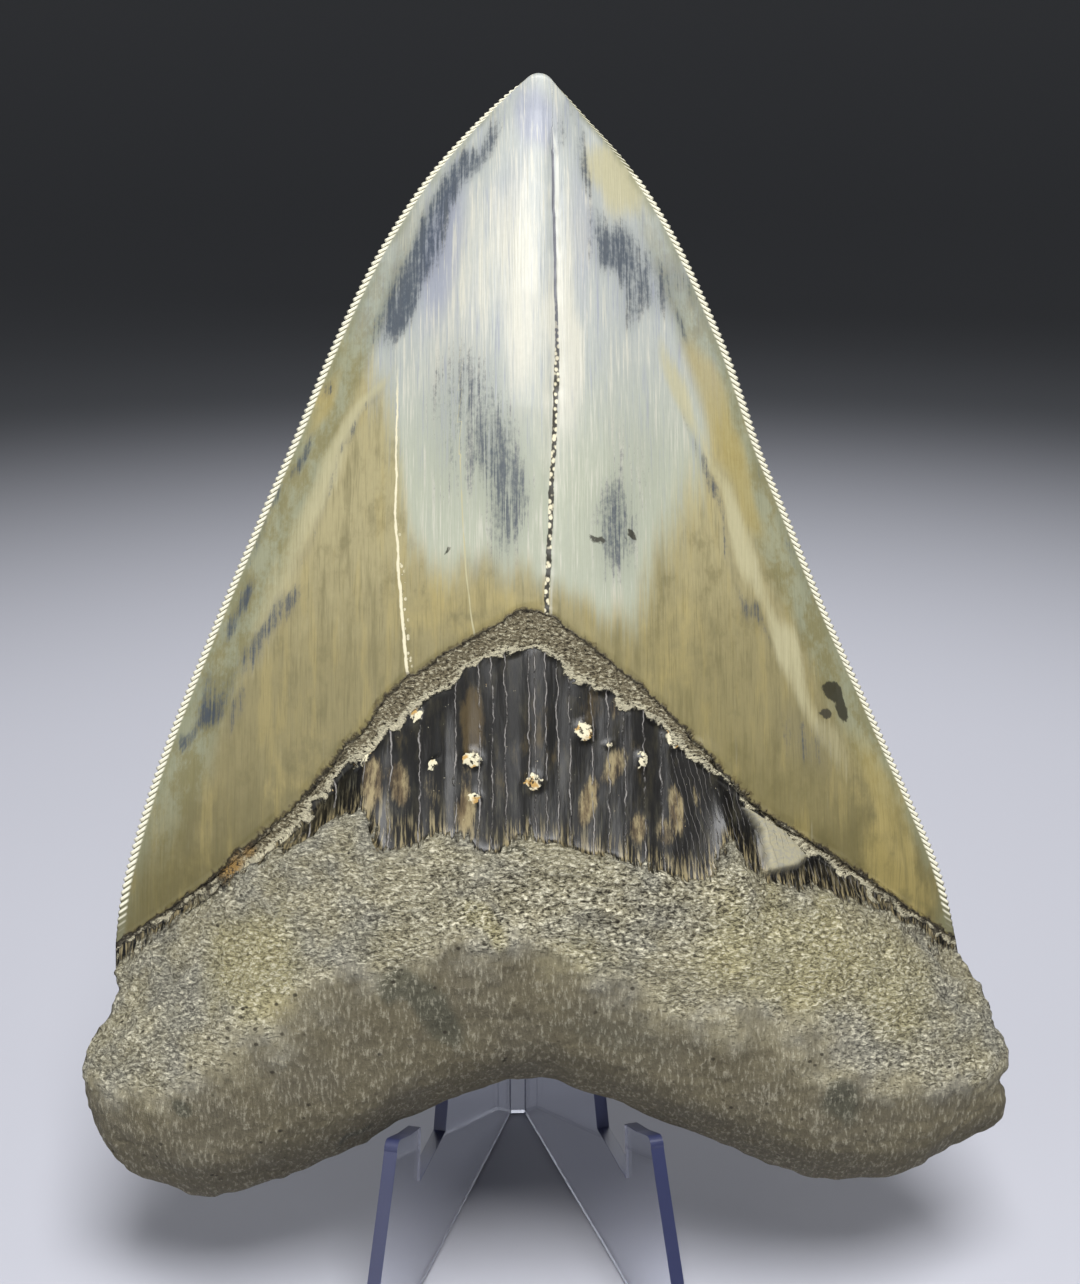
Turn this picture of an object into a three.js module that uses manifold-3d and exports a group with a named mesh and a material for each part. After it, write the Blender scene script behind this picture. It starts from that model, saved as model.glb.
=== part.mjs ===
import * as THREE from 'three';
import { mergeVertices } from 'three/addons/utils/BufferGeometryUtils.js';
import Module from 'manifold-3d';

// A megalodon tooth leaning back on a clear folded stand. Millimetres, +Z up.
// The origin is the middle of the bottom of the stand's spine, and the tooth's
// display face looks along -Y.

// The tooth is drawn in its own upright frame: x to the right, t up the face,
// w towards the viewer, with w = 0 on the plane of its flatter back face.
const TOOTH_LEAN = THREE.MathUtils.degToRad(17.5);
const TOOTH_ROLL = THREE.MathUtils.degToRad(0.35);
const TOOTH_PLACE = [0, -12.35, 78.4];

// Outline of the tooth, as [x, t]
const ROOT_CORNER_LEFT = [-52.8, -42.4];
const ROOT_CORNER_RIGHT = [58.3, -41.8];
const ENAMEL_CORNER_LEFT = [-52.8, -39.4];
const ENAMEL_CORNER_RIGHT = [57.9, -39.4];
const LOBE_CORNER_LEFT = [-52.9, -64];
const LOBE_CORNER_RIGHT = [60.8, -62];
const TIP_LEFT = [0.9, 74.4];
const TIP_RIGHT = [5.2, 74];

const CROWN_EDGE_LEFT = [
  ENAMEL_CORNER_LEFT, [-51.6, -31], [-47.2, -16.2], [-41, -0.3], [-33.7, 17], [-29.6, 26.4],
  [-25.5, 36.4], [-21.7, 44.8], [-17.6, 52.6], [-11.7, 61.5], [-4.7, 69.3], TIP_LEFT,
];
const CROWN_EDGE_RIGHT = [
  ENAMEL_CORNER_RIGHT, [55.4, -29.3], [48.1, -12.3], [41.4, 2.7], [35.5, 17.4], [32.4, 25],
  [29.9, 32.6], [27.4, 39.6], [21.4, 52.9], [15.5, 62.4], [9.2, 69.6], TIP_RIGHT,
];
const TIP_CURVE = [TIP_LEFT, [2, 75.2], [3.2, 75.4], [4.3, 75], TIP_RIGHT];
const ROOT_SIDE_LEFT = [
  LOBE_CORNER_LEFT, [-54.8, -58.5], [-55.2, -52.8], [-52.6, -48.4], [-51.6, -45.2], ROOT_CORNER_LEFT,
];
const ROOT_SIDE_RIGHT = [
  LOBE_CORNER_RIGHT, [62.2, -58.8], [61.5, -56.4], [63, -53.6], [60.9, -46.8], ROOT_CORNER_RIGHT,
];
const ROOT_UNDERSIDE = [
  LOBE_CORNER_LEFT, [-50.2, -66.6], [-44.4, -69.6], [-38.2, -70.8], [-31.2, -68.9], [-23.2, -66.1],
  [-13.8, -61.3], [-4.5, -57.7], [2.4, -56.6], [6.9, -58], [16.1, -61.5], [25.8, -65.3],
  [36.5, -69], [46.6, -69], [54.7, -65.7], LOBE_CORNER_RIGHT,
];

// Edges of the zones on the display face, each from the left corner to the right one
const ROOT_TOP_EDGE = [
  ROOT_CORNER_LEFT, [-43.3, -35], [-36.8, -29.4], [-27.8, -24.7], [-19.9, -20.7], [-16.6, -24.8],
  [-9.7, -23.4], [-3.2, -25.7], [1.5, -23.8], [10.1, -26.1], [23.3, -28.6], [26.3, -25.1],
  [29.7, -28.7], [38.7, -31.5], [46.2, -34.4], ROOT_CORNER_RIGHT,
];
const BOURLETTE_TOP_EDGE = [
  [-52.8, -40.6], [-40, -31.8], [-28.8, -23.4], [-21.1, -14.9], [-12.5, -7.8], [-5.4, -3],
  [1.2, -0.8], [8.2, -5.1], [18.2, -11.1], [28.6, -20.1], [40, -28.6], [58.1, -40.6],
];
const ENAMEL_EDGE = [
  ENAMEL_CORNER_LEFT, [-40.2, -30.3], [-29, -20.6], [-21.1, -11.9], [-14, -4.2], [-4.3, 1.5],
  [2.6, 4], [8.8, -0.3], [18.6, -8.4], [30.4, -20.6], [42.3, -28.3], ENAMEL_CORNER_RIGHT,
];

// Depth of the display face along the middle, as [t, w]
const FACE_CREST = [
  [-57, 22], [-52, 25], [-44, 26.4], [-35, 26.6], [-27, 25], [-23, 23.4], [-12, 20.6], [-1, 18.2],
  [4, 17.9], [15, 16.7], [30, 14.9], [45, 12.3], [60, 8.8], [70, 5.2], [75, 3],
];
// Depth of the back face along the middle, as [t, w]
const BACK_CREST = [[-57, 2], [-50, 0.5], [-20, 0.4], [30, 0.4], [60, 0.9], [70, 1.6], [75, 2.3]];

const RIM_DEPTH_TIP = 2.7;
const RIM_DEPTH_CORNER = 4.6;
const RIM_DEPTH_ROOT = 12;
const ROOT_ROUNDING = 9;

// Relief of the zones below the enamel
const ENAMEL_THICKNESS = 0.8;
const ROOT_LEDGE = 1;
const ROOT_LUMP = 0.75;
const FOLD_HEIGHT = 0.5;
const CHIP = { x: 32.5, t: -24.5, radius: 4.6, depth: 1.1 };

// Two long cracks up the display face: x of the crack at each t, half width and depth
const CRACK_HALF_WIDTH = 0.55;
const CRACK_DEPTH = 0.6;
const MIDDLE_CRACK = { path: [[4, 3.4], [17, 4.1], [37, 5], [60, 4.7]], column: 15 };
const LEFT_CRACK = { path: [[-5, -14], [5, -14.9], [16, -15.6], [37, -15.4]], column: 8 };

// Mesh of the tooth: columns across, and how far up its zone each row lies
const COLUMNS = 30;
const ROOT_ROWS = [0, 0.02, 0.06, 0.12, 0.2, 0.3, 0.4, 0.5, 0.6, 0.7, 0.8, 0.89, 0.97];
const BOURLETTE_ROWS = [0, 0.16, 0.33, 0.5, 0.67, 0.84];
const BAND_ROWS = [0, 0.5, 0.88];
const CROWN_ROW_COUNT = 36;
const SERRATIONS_PER_ROW = 4;
const SERRATION_HEIGHT = 0.3;

// Stand: a folded sheet. Its wings are drawn as [distance from the spine, height].
const SHEET_THICKNESS = 1.7;
const SPINE_HALF_WIDTH = 1.7;
const WING_SPLAY = THREE.MathUtils.degToRad(16);
const STAND_HEIGHT = 94;
const FOOT_REACH = 64.6;
const FRONT_EDGE = [[61.2, 10.7], [55.5, 21.2], [53.9, 24.4]];
const LIP_TIP = { reach: 52.5, height: 25, radius: 1.1 };
const LIP_TOP = [[48.3, 24.4], [44, 23]];
const NOTCH_BOTTOM = [44.9, 15.6];
const SEAT_BACK = [33.6, 16.3];
const RISER_TOP = [8.1, 92];
const TOP_ROUNDING = 3;

const wasm = await Module();
wasm.setup();

const splineOf = (points) => {
  const curve = new THREE.SplineCurve(points.map(([x, t]) => new THREE.Vector2(x, t)));
  curve.arcLengthDivisions = 600;
  return curve;
};

// Value of a list of [position, value] points at a position, straight between them
function valueAlong(points, position) {
  if (position <= points[0][0]) return points[0][1];
  for (let i = 1; i < points.length; i += 1) {
    const [from, low] = points[i - 1];
    const [to, high] = points[i];
    if (position <= to) return low + ((high - low) * (position - from)) / (to - from);
  }
  return points[points.length - 1][1];
}

// A zone is the surface between a lower and an upper edge and two sides
function makeZone(lower, upper, left, right) {
  const [bottom, top, leftSide, rightSide] = [lower, upper, left, right].map(splineOf);
  return (across, up) => {
    const point = new THREE.Vector2();
    point.addScaledVector(bottom.getPointAt(across), 1 - up);
    point.addScaledVector(top.getPointAt(across), up);
    point.addScaledVector(leftSide.getPointAt(up), 1 - across);
    point.addScaledVector(rightSide.getPointAt(up), across);
    point.addScaledVector(bottom.getPointAt(0), -(1 - across) * (1 - up));
    point.addScaledVector(bottom.getPointAt(1), -across * (1 - up));
    point.addScaledVector(top.getPointAt(0), -(1 - across) * up);
    point.addScaledVector(top.getPointAt(1), -across * up);
    return point;
  };
}

const ZONES = {
  root: makeZone(ROOT_UNDERSIDE, ROOT_TOP_EDGE, ROOT_SIDE_LEFT, ROOT_SIDE_RIGHT),
  bourlette: makeZone(
    ROOT_TOP_EDGE,
    BOURLETTE_TOP_EDGE,
    [ROOT_CORNER_LEFT, BOURLETTE_TOP_EDGE[0]],
    [ROOT_CORNER_RIGHT, BOURLETTE_TOP_EDGE.at(-1)],
  ),
  band: makeZone(
    BOURLETTE_TOP_EDGE,
    ENAMEL_EDGE,
    [BOURLETTE_TOP_EDGE[0], ENAMEL_CORNER_LEFT],
    [BOURLETTE_TOP_EDGE.at(-1), ENAMEL_CORNER_RIGHT],
  ),
  crown: makeZone(ENAMEL_EDGE, TIP_CURVE, CROWN_EDGE_LEFT, CROWN_EDGE_RIGHT),
};

// Every row of the mesh, from the root's underside to the tip
function listRows() {
  const rows = [];
  for (const up of ROOT_ROWS) rows.push({ zone: 'root', up });
  for (const up of BOURLETTE_ROWS) rows.push({ zone: 'bourlette', up });
  for (const up of BAND_ROWS) rows.push({ zone: 'band', up });
  for (let i = 0; i <= CROWN_ROW_COUNT; i += 1) rows.push({ zone: 'crown', up: i / CROWN_ROW_COUNT });
  return rows;
}

const rimDepth = ({ zone, up }) => {
  if (zone === 'crown') return THREE.MathUtils.lerp(RIM_DEPTH_CORNER, RIM_DEPTH_TIP, up);
  if (zone === 'root') return THREE.MathUtils.lerp(RIM_DEPTH_ROOT, RIM_DEPTH_CORNER, up ** 3);
  return RIM_DEPTH_CORNER;
};

// How full a row's cross-section is at side, which runs from -1 to 1: rounded
// at the root's edges and thin at the crown's
function fullness({ zone, up }, side) {
  const roundness = zone === 'root' ? 1 - up ** 2 : 0;
  const power = THREE.MathUtils.lerp(2, 2.6, roundness);
  const bluntness = THREE.MathUtils.lerp(zone === 'crown' ? 1.08 : 0.95, 0.5, roundness);
  return (1 - Math.abs(side) ** power) ** bluntness;
}

// Rounding of the root towards its underside
function undersideRounding(row, point, start) {
  if (row.zone !== 'root') return 1;
  const rise = Math.min(1, point.distanceTo(start) / ROOT_ROUNDING);
  return Math.sqrt(1 - (1 - rise) ** 2);
}

const lumps = (x, t) => Math.sin(0.52 * x + 1.3) * Math.sin(0.61 * t + 0.4)
  + 0.6 * Math.sin(0.95 * x + 0.33 * t + 2) * Math.cos(0.87 * t - 0.21 * x);

// Long folds that part the crown's thin flanks from its full middle
function folds(side, up) {
  const leftFold = THREE.MathUtils.lerp(-0.84, -0.62, up);
  const rightFold = THREE.MathUtils.lerp(0.87, 0.58, up);
  const ridge = (middle) => Math.exp(-(((side - middle) / 0.07) ** 2));
  return (ridge(leftFold) + ridge(rightFold)) * FOLD_HEIGHT * Math.max(0, 1 - up * 1.3);
}

function faceRelief(row, point, side) {
  const chipReach = Math.hypot(point.x - CHIP.x, point.y - CHIP.t) / CHIP.radius;
  const chip = chipReach < 1 ? -CHIP.depth * (1 - chipReach ** 2) : 0;
  if (row.zone === 'crown') return folds(side, row.up);
  if (row.zone === 'band') return -ENAMEL_THICKNESS * (row.up > 0 ? 0.8 : 1) + chip;
  if (row.zone === 'bourlette') return -ENAMEL_THICKNESS * (1 - 0.5 * Math.abs(side)) + chip;
  const ledge = ROOT_LEDGE * row.up ** 6 * (1 - Math.abs(side) ** 3);
  return ledge + ROOT_LUMP * lumps(point.x, point.y) * (1 - side ** 2) + chip;
}

// Moves three columns on to a crack where it runs, the middle one down into it
function cutCrack(crack, row, column, point) {
  const step = column - crack.column;
  if (row.zone !== 'crown' || Math.abs(step) > 1) return 0;
  const [start, end] = [crack.path[0][0], crack.path.at(-1)[0]];
  if (point.y < start - 2 || point.y > end) return 0;
  point.x = valueAlong(crack.path, point.y) + step * CRACK_HALF_WIDTH;
  return step === 0 ? -CRACK_DEPTH : 0;
}

// Points along a crown edge between two rows, rising and falling as serrations
function serratedRim(edge, row, nextRow, outward) {
  const points = [];
  const steps = SERRATIONS_PER_ROW * 2;
  for (let i = 1; i < steps; i += 1) {
    const up = THREE.MathUtils.lerp(row.up, nextRow.up, i / steps);
    const point = edge.getPointAt(up);
    const along = edge.getTangentAt(up);
    const strength = Math.min(1, up / 0.06, (1 - up) / 0.03);
    const height = (i % 2 === 1 ? SERRATION_HEIGHT : -SERRATION_HEIGHT) * Math.max(0, strength);
    point.x += along.y * outward * height;
    point.y -= along.x * outward * height;
    points.push(new THREE.Vector3(point.x, -rimDepth({ zone: 'crown', up }), point.y));
  }
  return points;
}

function toothGeometry() {
  const rows = listRows();
  const vertices = [];
  const triangles = [];
  const keep = (vertex) => vertices.push(vertex.x, vertex.y, vertex.z) / 3 - 1;
  const at = (point, depth) => new THREE.Vector3(point.x, -depth, point.y);
  const lastRow = rows.length - 1;
  const face = [];
  const back = [];

  // Vertices: the rim is shared by the display face and the back
  rows.forEach((row, r) => {
    const zone = ZONES[row.zone];
    const middle = zone(0.5, row.up);
    const left = zone(0, row.up).x;
    const right = zone(1, row.up).x;
    const rim = rimDepth(row);
    const faceHeight = valueAlong(FACE_CREST, middle.y) - rim;
    const backHeight = valueAlong(BACK_CREST, middle.y) - rim;
    face.push([]);
    back.push([]);
    for (let column = 0; column <= COLUMNS; column += 1) {
      const across = column / COLUMNS;
      const point = zone(across, row.up);
      const side = THREE.MathUtils.clamp((2 * (point.x - left)) / (right - left) - 1, -1, 1);
      const isRim = r === 0 || r === lastRow || column === 0 || column === COLUMNS;
      if (isRim) {
        const shared = keep(at(point, rim));
        face[r].push(shared);
        back[r].push(shared);
        continue;
      }
      const full = fullness(row, side) * undersideRounding(row, point, zone(across, 0));
      const dents = row.zone === 'root' ? ROOT_LUMP * Math.abs(lumps(point.x + 9, point.y)) : 0;
      back[r].push(keep(at(point, rim + (backHeight + dents) * full)));
      const cut = cutCrack(MIDDLE_CRACK, row, column, point) + cutCrack(LEFT_CRACK, row, column, point);
      face[r].push(keep(at(point, rim + faceHeight * full + faceRelief(row, point, side) * full + cut)));
    }
  });

  const edges = [
    { curve: splineOf(CROWN_EDGE_LEFT), column: 0, inner: 1, outward: -1 },
    { curve: splineOf(CROWN_EDGE_RIGHT), column: COLUMNS, inner: COLUMNS - 1, outward: 1 },
  ];
  const addTriangle = (flip, a, b, c) => triangles.push(a, flip ? c : b, flip ? b : c);

  for (let r = 0; r < lastRow; r += 1) {
    for (const sheet of [face, back]) {
      const flip = sheet === back;
      for (let column = 1; column < COLUMNS - 1; column += 1) {
        const [a, b] = [sheet[r][column], sheet[r][column + 1]];
        const [c, d] = [sheet[r + 1][column + 1], sheet[r + 1][column]];
        addTriangle(flip, a, b, c);
        addTriangle(flip, a, c, d);
      }
    }
    for (const { curve, column, inner, outward } of edges) {
      const isCrown = rows[r].zone === 'crown';
      const between = isCrown ? serratedRim(curve, rows[r], rows[r + 1], outward).map(keep) : [];
      const rim = [face[r][column], ...between, face[r + 1][column]];
      const half = Math.floor(rim.length / 2);
      for (const sheet of [face, back]) {
        const flip = (sheet === back) !== (outward < 0);
        const [low, high] = [sheet[r][inner], sheet[r + 1][inner]];
        for (let i = 1; i < rim.length; i += 1) {
          addTriangle(flip, i <= half ? low : high, rim[i - 1], rim[i]);
        }
        addTriangle(flip, low, rim[half], high);
      }
    }
  }

  const geometry = new THREE.BufferGeometry();
  geometry.setAttribute('position', new THREE.Float32BufferAttribute(vertices, 3));
  geometry.setIndex(triangles);
  return geometry;
}

// One wing of the stand, as a flat sheet standing on its bottom edge
function wingGeometry() {
  const shape = new THREE.Shape();
  shape.moveTo(0, 0);
  shape.lineTo(FOOT_REACH, 0);
  for (const [reach, height] of FRONT_EDGE) shape.lineTo(reach, height);
  shape.absarc(LIP_TIP.reach, LIP_TIP.height, LIP_TIP.radius, 0, Math.PI * 0.62, false);
  for (const [reach, height] of LIP_TOP) shape.lineTo(reach, height);
  shape.lineTo(...NOTCH_BOTTOM);
  shape.lineTo(...SEAT_BACK);
  shape.lineTo(...RISER_TOP);
  shape.quadraticCurveTo(RISER_TOP[0] - 0.7, STAND_HEIGHT, RISER_TOP[0] - TOP_ROUNDING, STAND_HEIGHT);
  shape.lineTo(0, STAND_HEIGHT);
  shape.closePath();
  const geometry = new THREE.ExtrudeGeometry(shape, {
    depth: SHEET_THICKNESS,
    bevelEnabled: false,
    curveSegments: 8,
  });
  geometry.translate(0, 0, -SHEET_THICKNESS / 2);
  geometry.rotateX(Math.PI / 2);
  return geometry;
}

function toSolid(geometry) {
  const plain = geometry.clone();
  plain.deleteAttribute('normal');
  plain.deleteAttribute('uv');
  const merged = mergeVertices(plain, 1e-4);
  return new wasm.Manifold(new wasm.Mesh({
    numProp: 3,
    vertProperties: new Float32Array(merged.attributes.position.array),
    triVerts: new Uint32Array(merged.index.array),
  }));
}

function fromSolid(solid) {
  const mesh = solid.getMesh();
  const geometry = new THREE.BufferGeometry();
  geometry.setAttribute('position', new THREE.BufferAttribute(mesh.vertProperties, 3));
  geometry.setIndex(new THREE.BufferAttribute(mesh.triVerts, 1));
  return geometry;
}

function standGeometry() {
  const spine = new THREE.BoxGeometry(
    SPINE_HALF_WIDTH * 2 + SHEET_THICKNESS,
    SHEET_THICKNESS,
    STAND_HEIGHT,
  );
  spine.translate(0, 0, STAND_HEIGHT / 2);
  let stand = toSolid(spine);
  for (const side of [-1, 1]) {
    const wing = wingGeometry();
    wing.rotateZ(-Math.PI / 2 + side * WING_SPLAY);
    wing.translate(side * SPINE_HALF_WIDTH, 0, 0);
    stand = stand.add(toSolid(wing));
  }
  return fromSolid(stand);
}

function makeMesh(name, geometry, material) {
  const shaded = geometry.clone();
  shaded.computeVertexNormals();
  const mesh = new THREE.Mesh(shaded, new THREE.MeshStandardMaterial(material));
  mesh.name = name;
  return mesh;
}

const part = new THREE.Group();

const tooth = makeMesh('tooth', toothGeometry(), { color: 0xa39a8c, roughness: 0.45, metalness: 0 });
tooth.rotation.set(-TOOTH_LEAN, TOOTH_ROLL, 0);
tooth.position.set(...TOOTH_PLACE);
part.add(tooth);

const stand = makeMesh('stand', standGeometry(), {
  color: 0xc9cde6,
  roughness: 0.08,
  metalness: 0,
  transparent: true,
  opacity: 0.4,
});
part.add(stand);

export default part;
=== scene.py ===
import math

import bpy
import numpy as np
from mathutils import Euler, Matrix, Vector


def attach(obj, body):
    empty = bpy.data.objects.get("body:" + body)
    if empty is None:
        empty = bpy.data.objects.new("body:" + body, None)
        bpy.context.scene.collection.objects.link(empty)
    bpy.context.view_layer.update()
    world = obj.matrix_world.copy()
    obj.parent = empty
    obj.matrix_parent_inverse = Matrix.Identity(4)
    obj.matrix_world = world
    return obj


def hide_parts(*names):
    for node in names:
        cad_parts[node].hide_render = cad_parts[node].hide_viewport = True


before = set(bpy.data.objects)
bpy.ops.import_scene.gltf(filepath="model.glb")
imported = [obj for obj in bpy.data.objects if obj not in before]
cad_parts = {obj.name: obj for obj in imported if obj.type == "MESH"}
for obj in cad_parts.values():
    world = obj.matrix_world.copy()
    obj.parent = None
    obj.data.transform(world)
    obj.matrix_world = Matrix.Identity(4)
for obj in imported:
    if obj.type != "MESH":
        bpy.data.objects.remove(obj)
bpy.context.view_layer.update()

MM = 0.001

# The tooth's own frame, in millimetres: x to the right, t up the face, w towards
# the viewer, with w = 0 on the plane of its flatter back face.
TOOTH_LEAN = math.radians(17.5)
TOOTH_ROLL = math.radians(0.35)
TOOTH_PLACE = (0, -12.35, 78.4)

# Outline of the tooth, as (x, t)
ROOT_CORNER_LEFT = (-52.8, -42.4)
ROOT_CORNER_RIGHT = (58.3, -41.8)
BOURLETTE_CORNER_LEFT = (-52.8, -40.6)
BOURLETTE_CORNER_RIGHT = (58.1, -40.6)
ENAMEL_CORNER_LEFT = (-52.8, -39.4)
ENAMEL_CORNER_RIGHT = (57.9, -39.4)
LOBE_CORNER_LEFT = (-52.9, -64)
LOBE_CORNER_RIGHT = (60.8, -62)
TIP_LEFT = (0.9, 74.4)
TIP_RIGHT = (5.2, 74)
CROWN_EDGE_LEFT = [
    ENAMEL_CORNER_LEFT, (-51.6, -31), (-47.2, -16.2), (-41, -0.3), (-33.7, 17), (-29.6, 26.4),
    (-25.5, 36.4), (-21.7, 44.8), (-17.6, 52.6), (-11.7, 61.5), (-4.7, 69.3), TIP_LEFT,
]
CROWN_EDGE_RIGHT = [
    ENAMEL_CORNER_RIGHT, (55.4, -29.3), (48.1, -12.3), (41.4, 2.7), (35.5, 17.4), (32.4, 25),
    (29.9, 32.6), (27.4, 39.6), (21.4, 52.9), (15.5, 62.4), (9.2, 69.6), TIP_RIGHT,
]
TIP_CURVE = [TIP_LEFT, (2, 75.2), (3.2, 75.4), (4.3, 75), TIP_RIGHT]
ROOT_SIDE_LEFT = [
    LOBE_CORNER_LEFT, (-54.8, -58.5), (-55.2, -52.8), (-52.6, -48.4), (-51.6, -45.2), ROOT_CORNER_LEFT,
]
ROOT_SIDE_RIGHT = [
    LOBE_CORNER_RIGHT, (62.2, -58.8), (61.5, -56.4), (63, -53.6), (60.9, -46.8), ROOT_CORNER_RIGHT,
]
ROOT_UNDERSIDE = [
    LOBE_CORNER_LEFT, (-50.2, -66.6), (-44.4, -69.6), (-38.2, -70.8), (-31.2, -68.9), (-23.2, -66.1),
    (-13.8, -61.3), (-4.5, -57.7), (2.4, -56.6), (6.9, -58), (16.1, -61.5), (25.8, -65.3),
    (36.5, -69), (46.6, -69), (54.7, -65.7), LOBE_CORNER_RIGHT,
]

# Edges of the zones on the display face, each from the left corner to the right one
ROOT_TOP_EDGE = [
    ROOT_CORNER_LEFT, (-43.3, -35), (-36.8, -29.4), (-27.8, -24.7), (-19.9, -20.7), (-16.6, -24.8),
    (-9.7, -23.4), (-3.2, -25.7), (1.5, -23.8), (10.1, -26.1), (23.3, -28.6), (26.3, -25.1),
    (29.7, -28.7), (38.7, -31.5), (46.2, -34.4), ROOT_CORNER_RIGHT,
]
BOURLETTE_TOP_EDGE = [
    BOURLETTE_CORNER_LEFT, (-40, -31.8), (-28.8, -23.4), (-21.1, -14.9), (-12.5, -7.8), (-5.4, -3),
    (1.2, -0.8), (8.2, -5.1), (18.2, -11.1), (28.6, -20.1), (40, -28.6), BOURLETTE_CORNER_RIGHT,
]
ENAMEL_EDGE = [
    ENAMEL_CORNER_LEFT, (-40.2, -30.3), (-29, -20.6), (-21.1, -11.9), (-14, -4.2), (-4.3, 1.5),
    (2.6, 4), (8.8, -0.3), (18.6, -8.4), (30.4, -20.6), (42.3, -28.3), ENAMEL_CORNER_RIGHT,
]
# On the back the enamel comes down to a shallow arch, with only a thin dark line under it
BACK_ENAMEL_EDGE = [
    ENAMEL_CORNER_LEFT, (-38, -36.5), (-18, -32.5), (3, -30.5), (24, -32.5), (43, -36.5),
    ENAMEL_CORNER_RIGHT,
]
BACK_LINE_WIDTH = 1.1

# Depth of each face along the middle, as (t, w)
FACE_CREST = [
    (-57, 22), (-52, 25), (-44, 26.4), (-35, 26.6), (-27, 25), (-23, 23.4), (-12, 20.6), (-1, 18.2),
    (4, 17.9), (15, 16.7), (30, 14.9), (45, 12.3), (60, 8.8), (70, 5.2), (75, 3),
]
BACK_CREST = [(-57, 2), (-50, 0.5), (-20, 0.4), (30, 0.4), (60, 0.9), (70, 1.6), (75, 2.3)]
RIM_DEPTH_TIP = 2.7
RIM_DEPTH_CORNER = 4.6
RIM_DEPTH_ROOT = 12
ROOT_ROUNDING = 9
# How thin the tooth runs out towards its edges: larger is thinner
CROWN_THINNESS = 1.08
BAND_THINNESS = 0.95
ROOT_THINNESS = 0.5
ROOT_SIDE_POWER = 0.6

# Relief, in millimetres
ENAMEL_THICKNESS = 0.8
ROOT_LEDGE = 1.0
# How far up the root its smoother part reaches, as shares of the root's height
SMOOTH_ROOT_MIDDLE = 0.56
SMOOTH_ROOT_LOBES = 0.36
FOLD_HEIGHT = 0.5
CRUMB_SWING = 0.35
CRUMB_RISE = 0.15
DARK_RIBS_HEIGHT = 0.22
FILLED_CRACK_HEIGHT = 0.12
FILLED_CRACK_WIDTH = 0.5
CROWN_WAVE_HEIGHT = 0.06
# The crown's folds and their width, as shares of its half width; places at its foot and its tip
FOLD_LEFT = (-0.84, -0.62)
FOLD_RIGHT = (0.87, 0.58)
FOLD_WIDTH = 0.07
CHIP_OUTLINE = [(28.5, -20.7), (30.5, -23.9), (31.1, -29), (35.3, -28.5), (36.9, -27.5), (33.7, -24)]
CHIP_HEIGHT = 0.5

# Cracks up the display face, each as (t, x) points
MIDDLE_CRACK = [(4, 3.4), (17, 4.1), (37, 5), (64, 4.7)]
LEFT_CRACK = [(-5, -14), (5, -14.9), (16, -15.6), (37, -15.4)]
FAINT_CRACK = [(1, -5.6), (4, -6.1), (9, -6.8), (23, -7.4)]
CRACK_WANDER = 0.12
MIDDLE_CRACK_DEPTH = 0.4
MIDDLE_CRACK_WIDTH = 0.42

# Mesh of the tooth
FACE_COLUMNS_LOW = 232
FACE_COLUMNS_CROWN = 112
BACK_COLUMNS_LOW = 76
BACK_COLUMNS_CROWN = 44
ROOT_ROWS = 108
BOURLETTE_ROWS = 40
BAND_ROWS = 8
CROWN_ROWS = 143
STEPS_PER_CROWN_ROW = 8
SERRATION_COUNT = 143
SERRATION_HEIGHT = 0.24
SERRATION_BULGE = 0.17
# Rings of vertices along the cutting edge: their distances from the rim, and how far the
# serrations pull each ring outward and swell it; the last 0 is for every other vertex
RING_DISTANCES = (0, 0.22, 0.65, 1.1)
RING_PULL = (1.0, 0.8, 0, 0, 0)
RING_SWELL = (0, 0.8, 1.0, 0.5, 0)
# The serrations fade out over these shares of the crown at its foot and its tip
SERRATION_FADE = (0.08, 0.02)
# Near the tip the right-hand edge is worn
WORN_EDGE_FROM = 0.87
WORN_EDGE_SHARE = 0.3
FIRST_COLUMN_DISTANCE = 1.6
# Which column of the crown follows the middle crack, and how far around it the columns move too
CRACK_COLUMN_ACROSS = 0.56
CRACK_COLUMN_REACH = 0.14

# Zones of the tooth, from its underside up
ROOT, BOURLETTE, BAND, CROWN = range(4)
LATTICE_SIZE = 32
# Distances in millimetres are cut off here, where they no longer matter
FAR = 30


def smoothstep(low, high, value):
    part = np.clip((value - low) / (high - low), 0, 1)
    return part * part * (3 - 2 * part)


def table_value(points, position):
    places, values = zip(*points)
    return np.interp(position, places, values)


# Curves and zones of the outline


def smooth_curve(points, steps=40):
    """A smooth curve through the points, as a function of how far along it a place is, from 0 to 1."""
    given = np.array(points, float)
    padded = np.vstack([given[:1], given, given[-1:]])
    s = np.linspace(0, 1, steps, endpoint=False)[:, None]
    pieces = []
    for a, b, c, d in zip(padded, padded[1:], padded[2:], padded[3:]):
        slope_in = (c - a) / 2
        slope_out = (d - b) / 2
        cubic = 2 * b - 2 * c + slope_in + slope_out
        square = -3 * b + 3 * c - 2 * slope_in - slope_out
        pieces.append(cubic * s**3 + square * s**2 + slope_in * s + b)
    line = np.vstack(pieces + [given[-1:]])
    lengths = np.concatenate([[0], np.cumsum(np.linalg.norm(np.diff(line, axis=0), axis=1))])
    lengths /= lengths[-1]

    def place(along):
        along = np.atleast_1d(along)
        return np.stack([np.interp(along, lengths, line[:, k]) for k in range(2)], -1)

    return place


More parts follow.
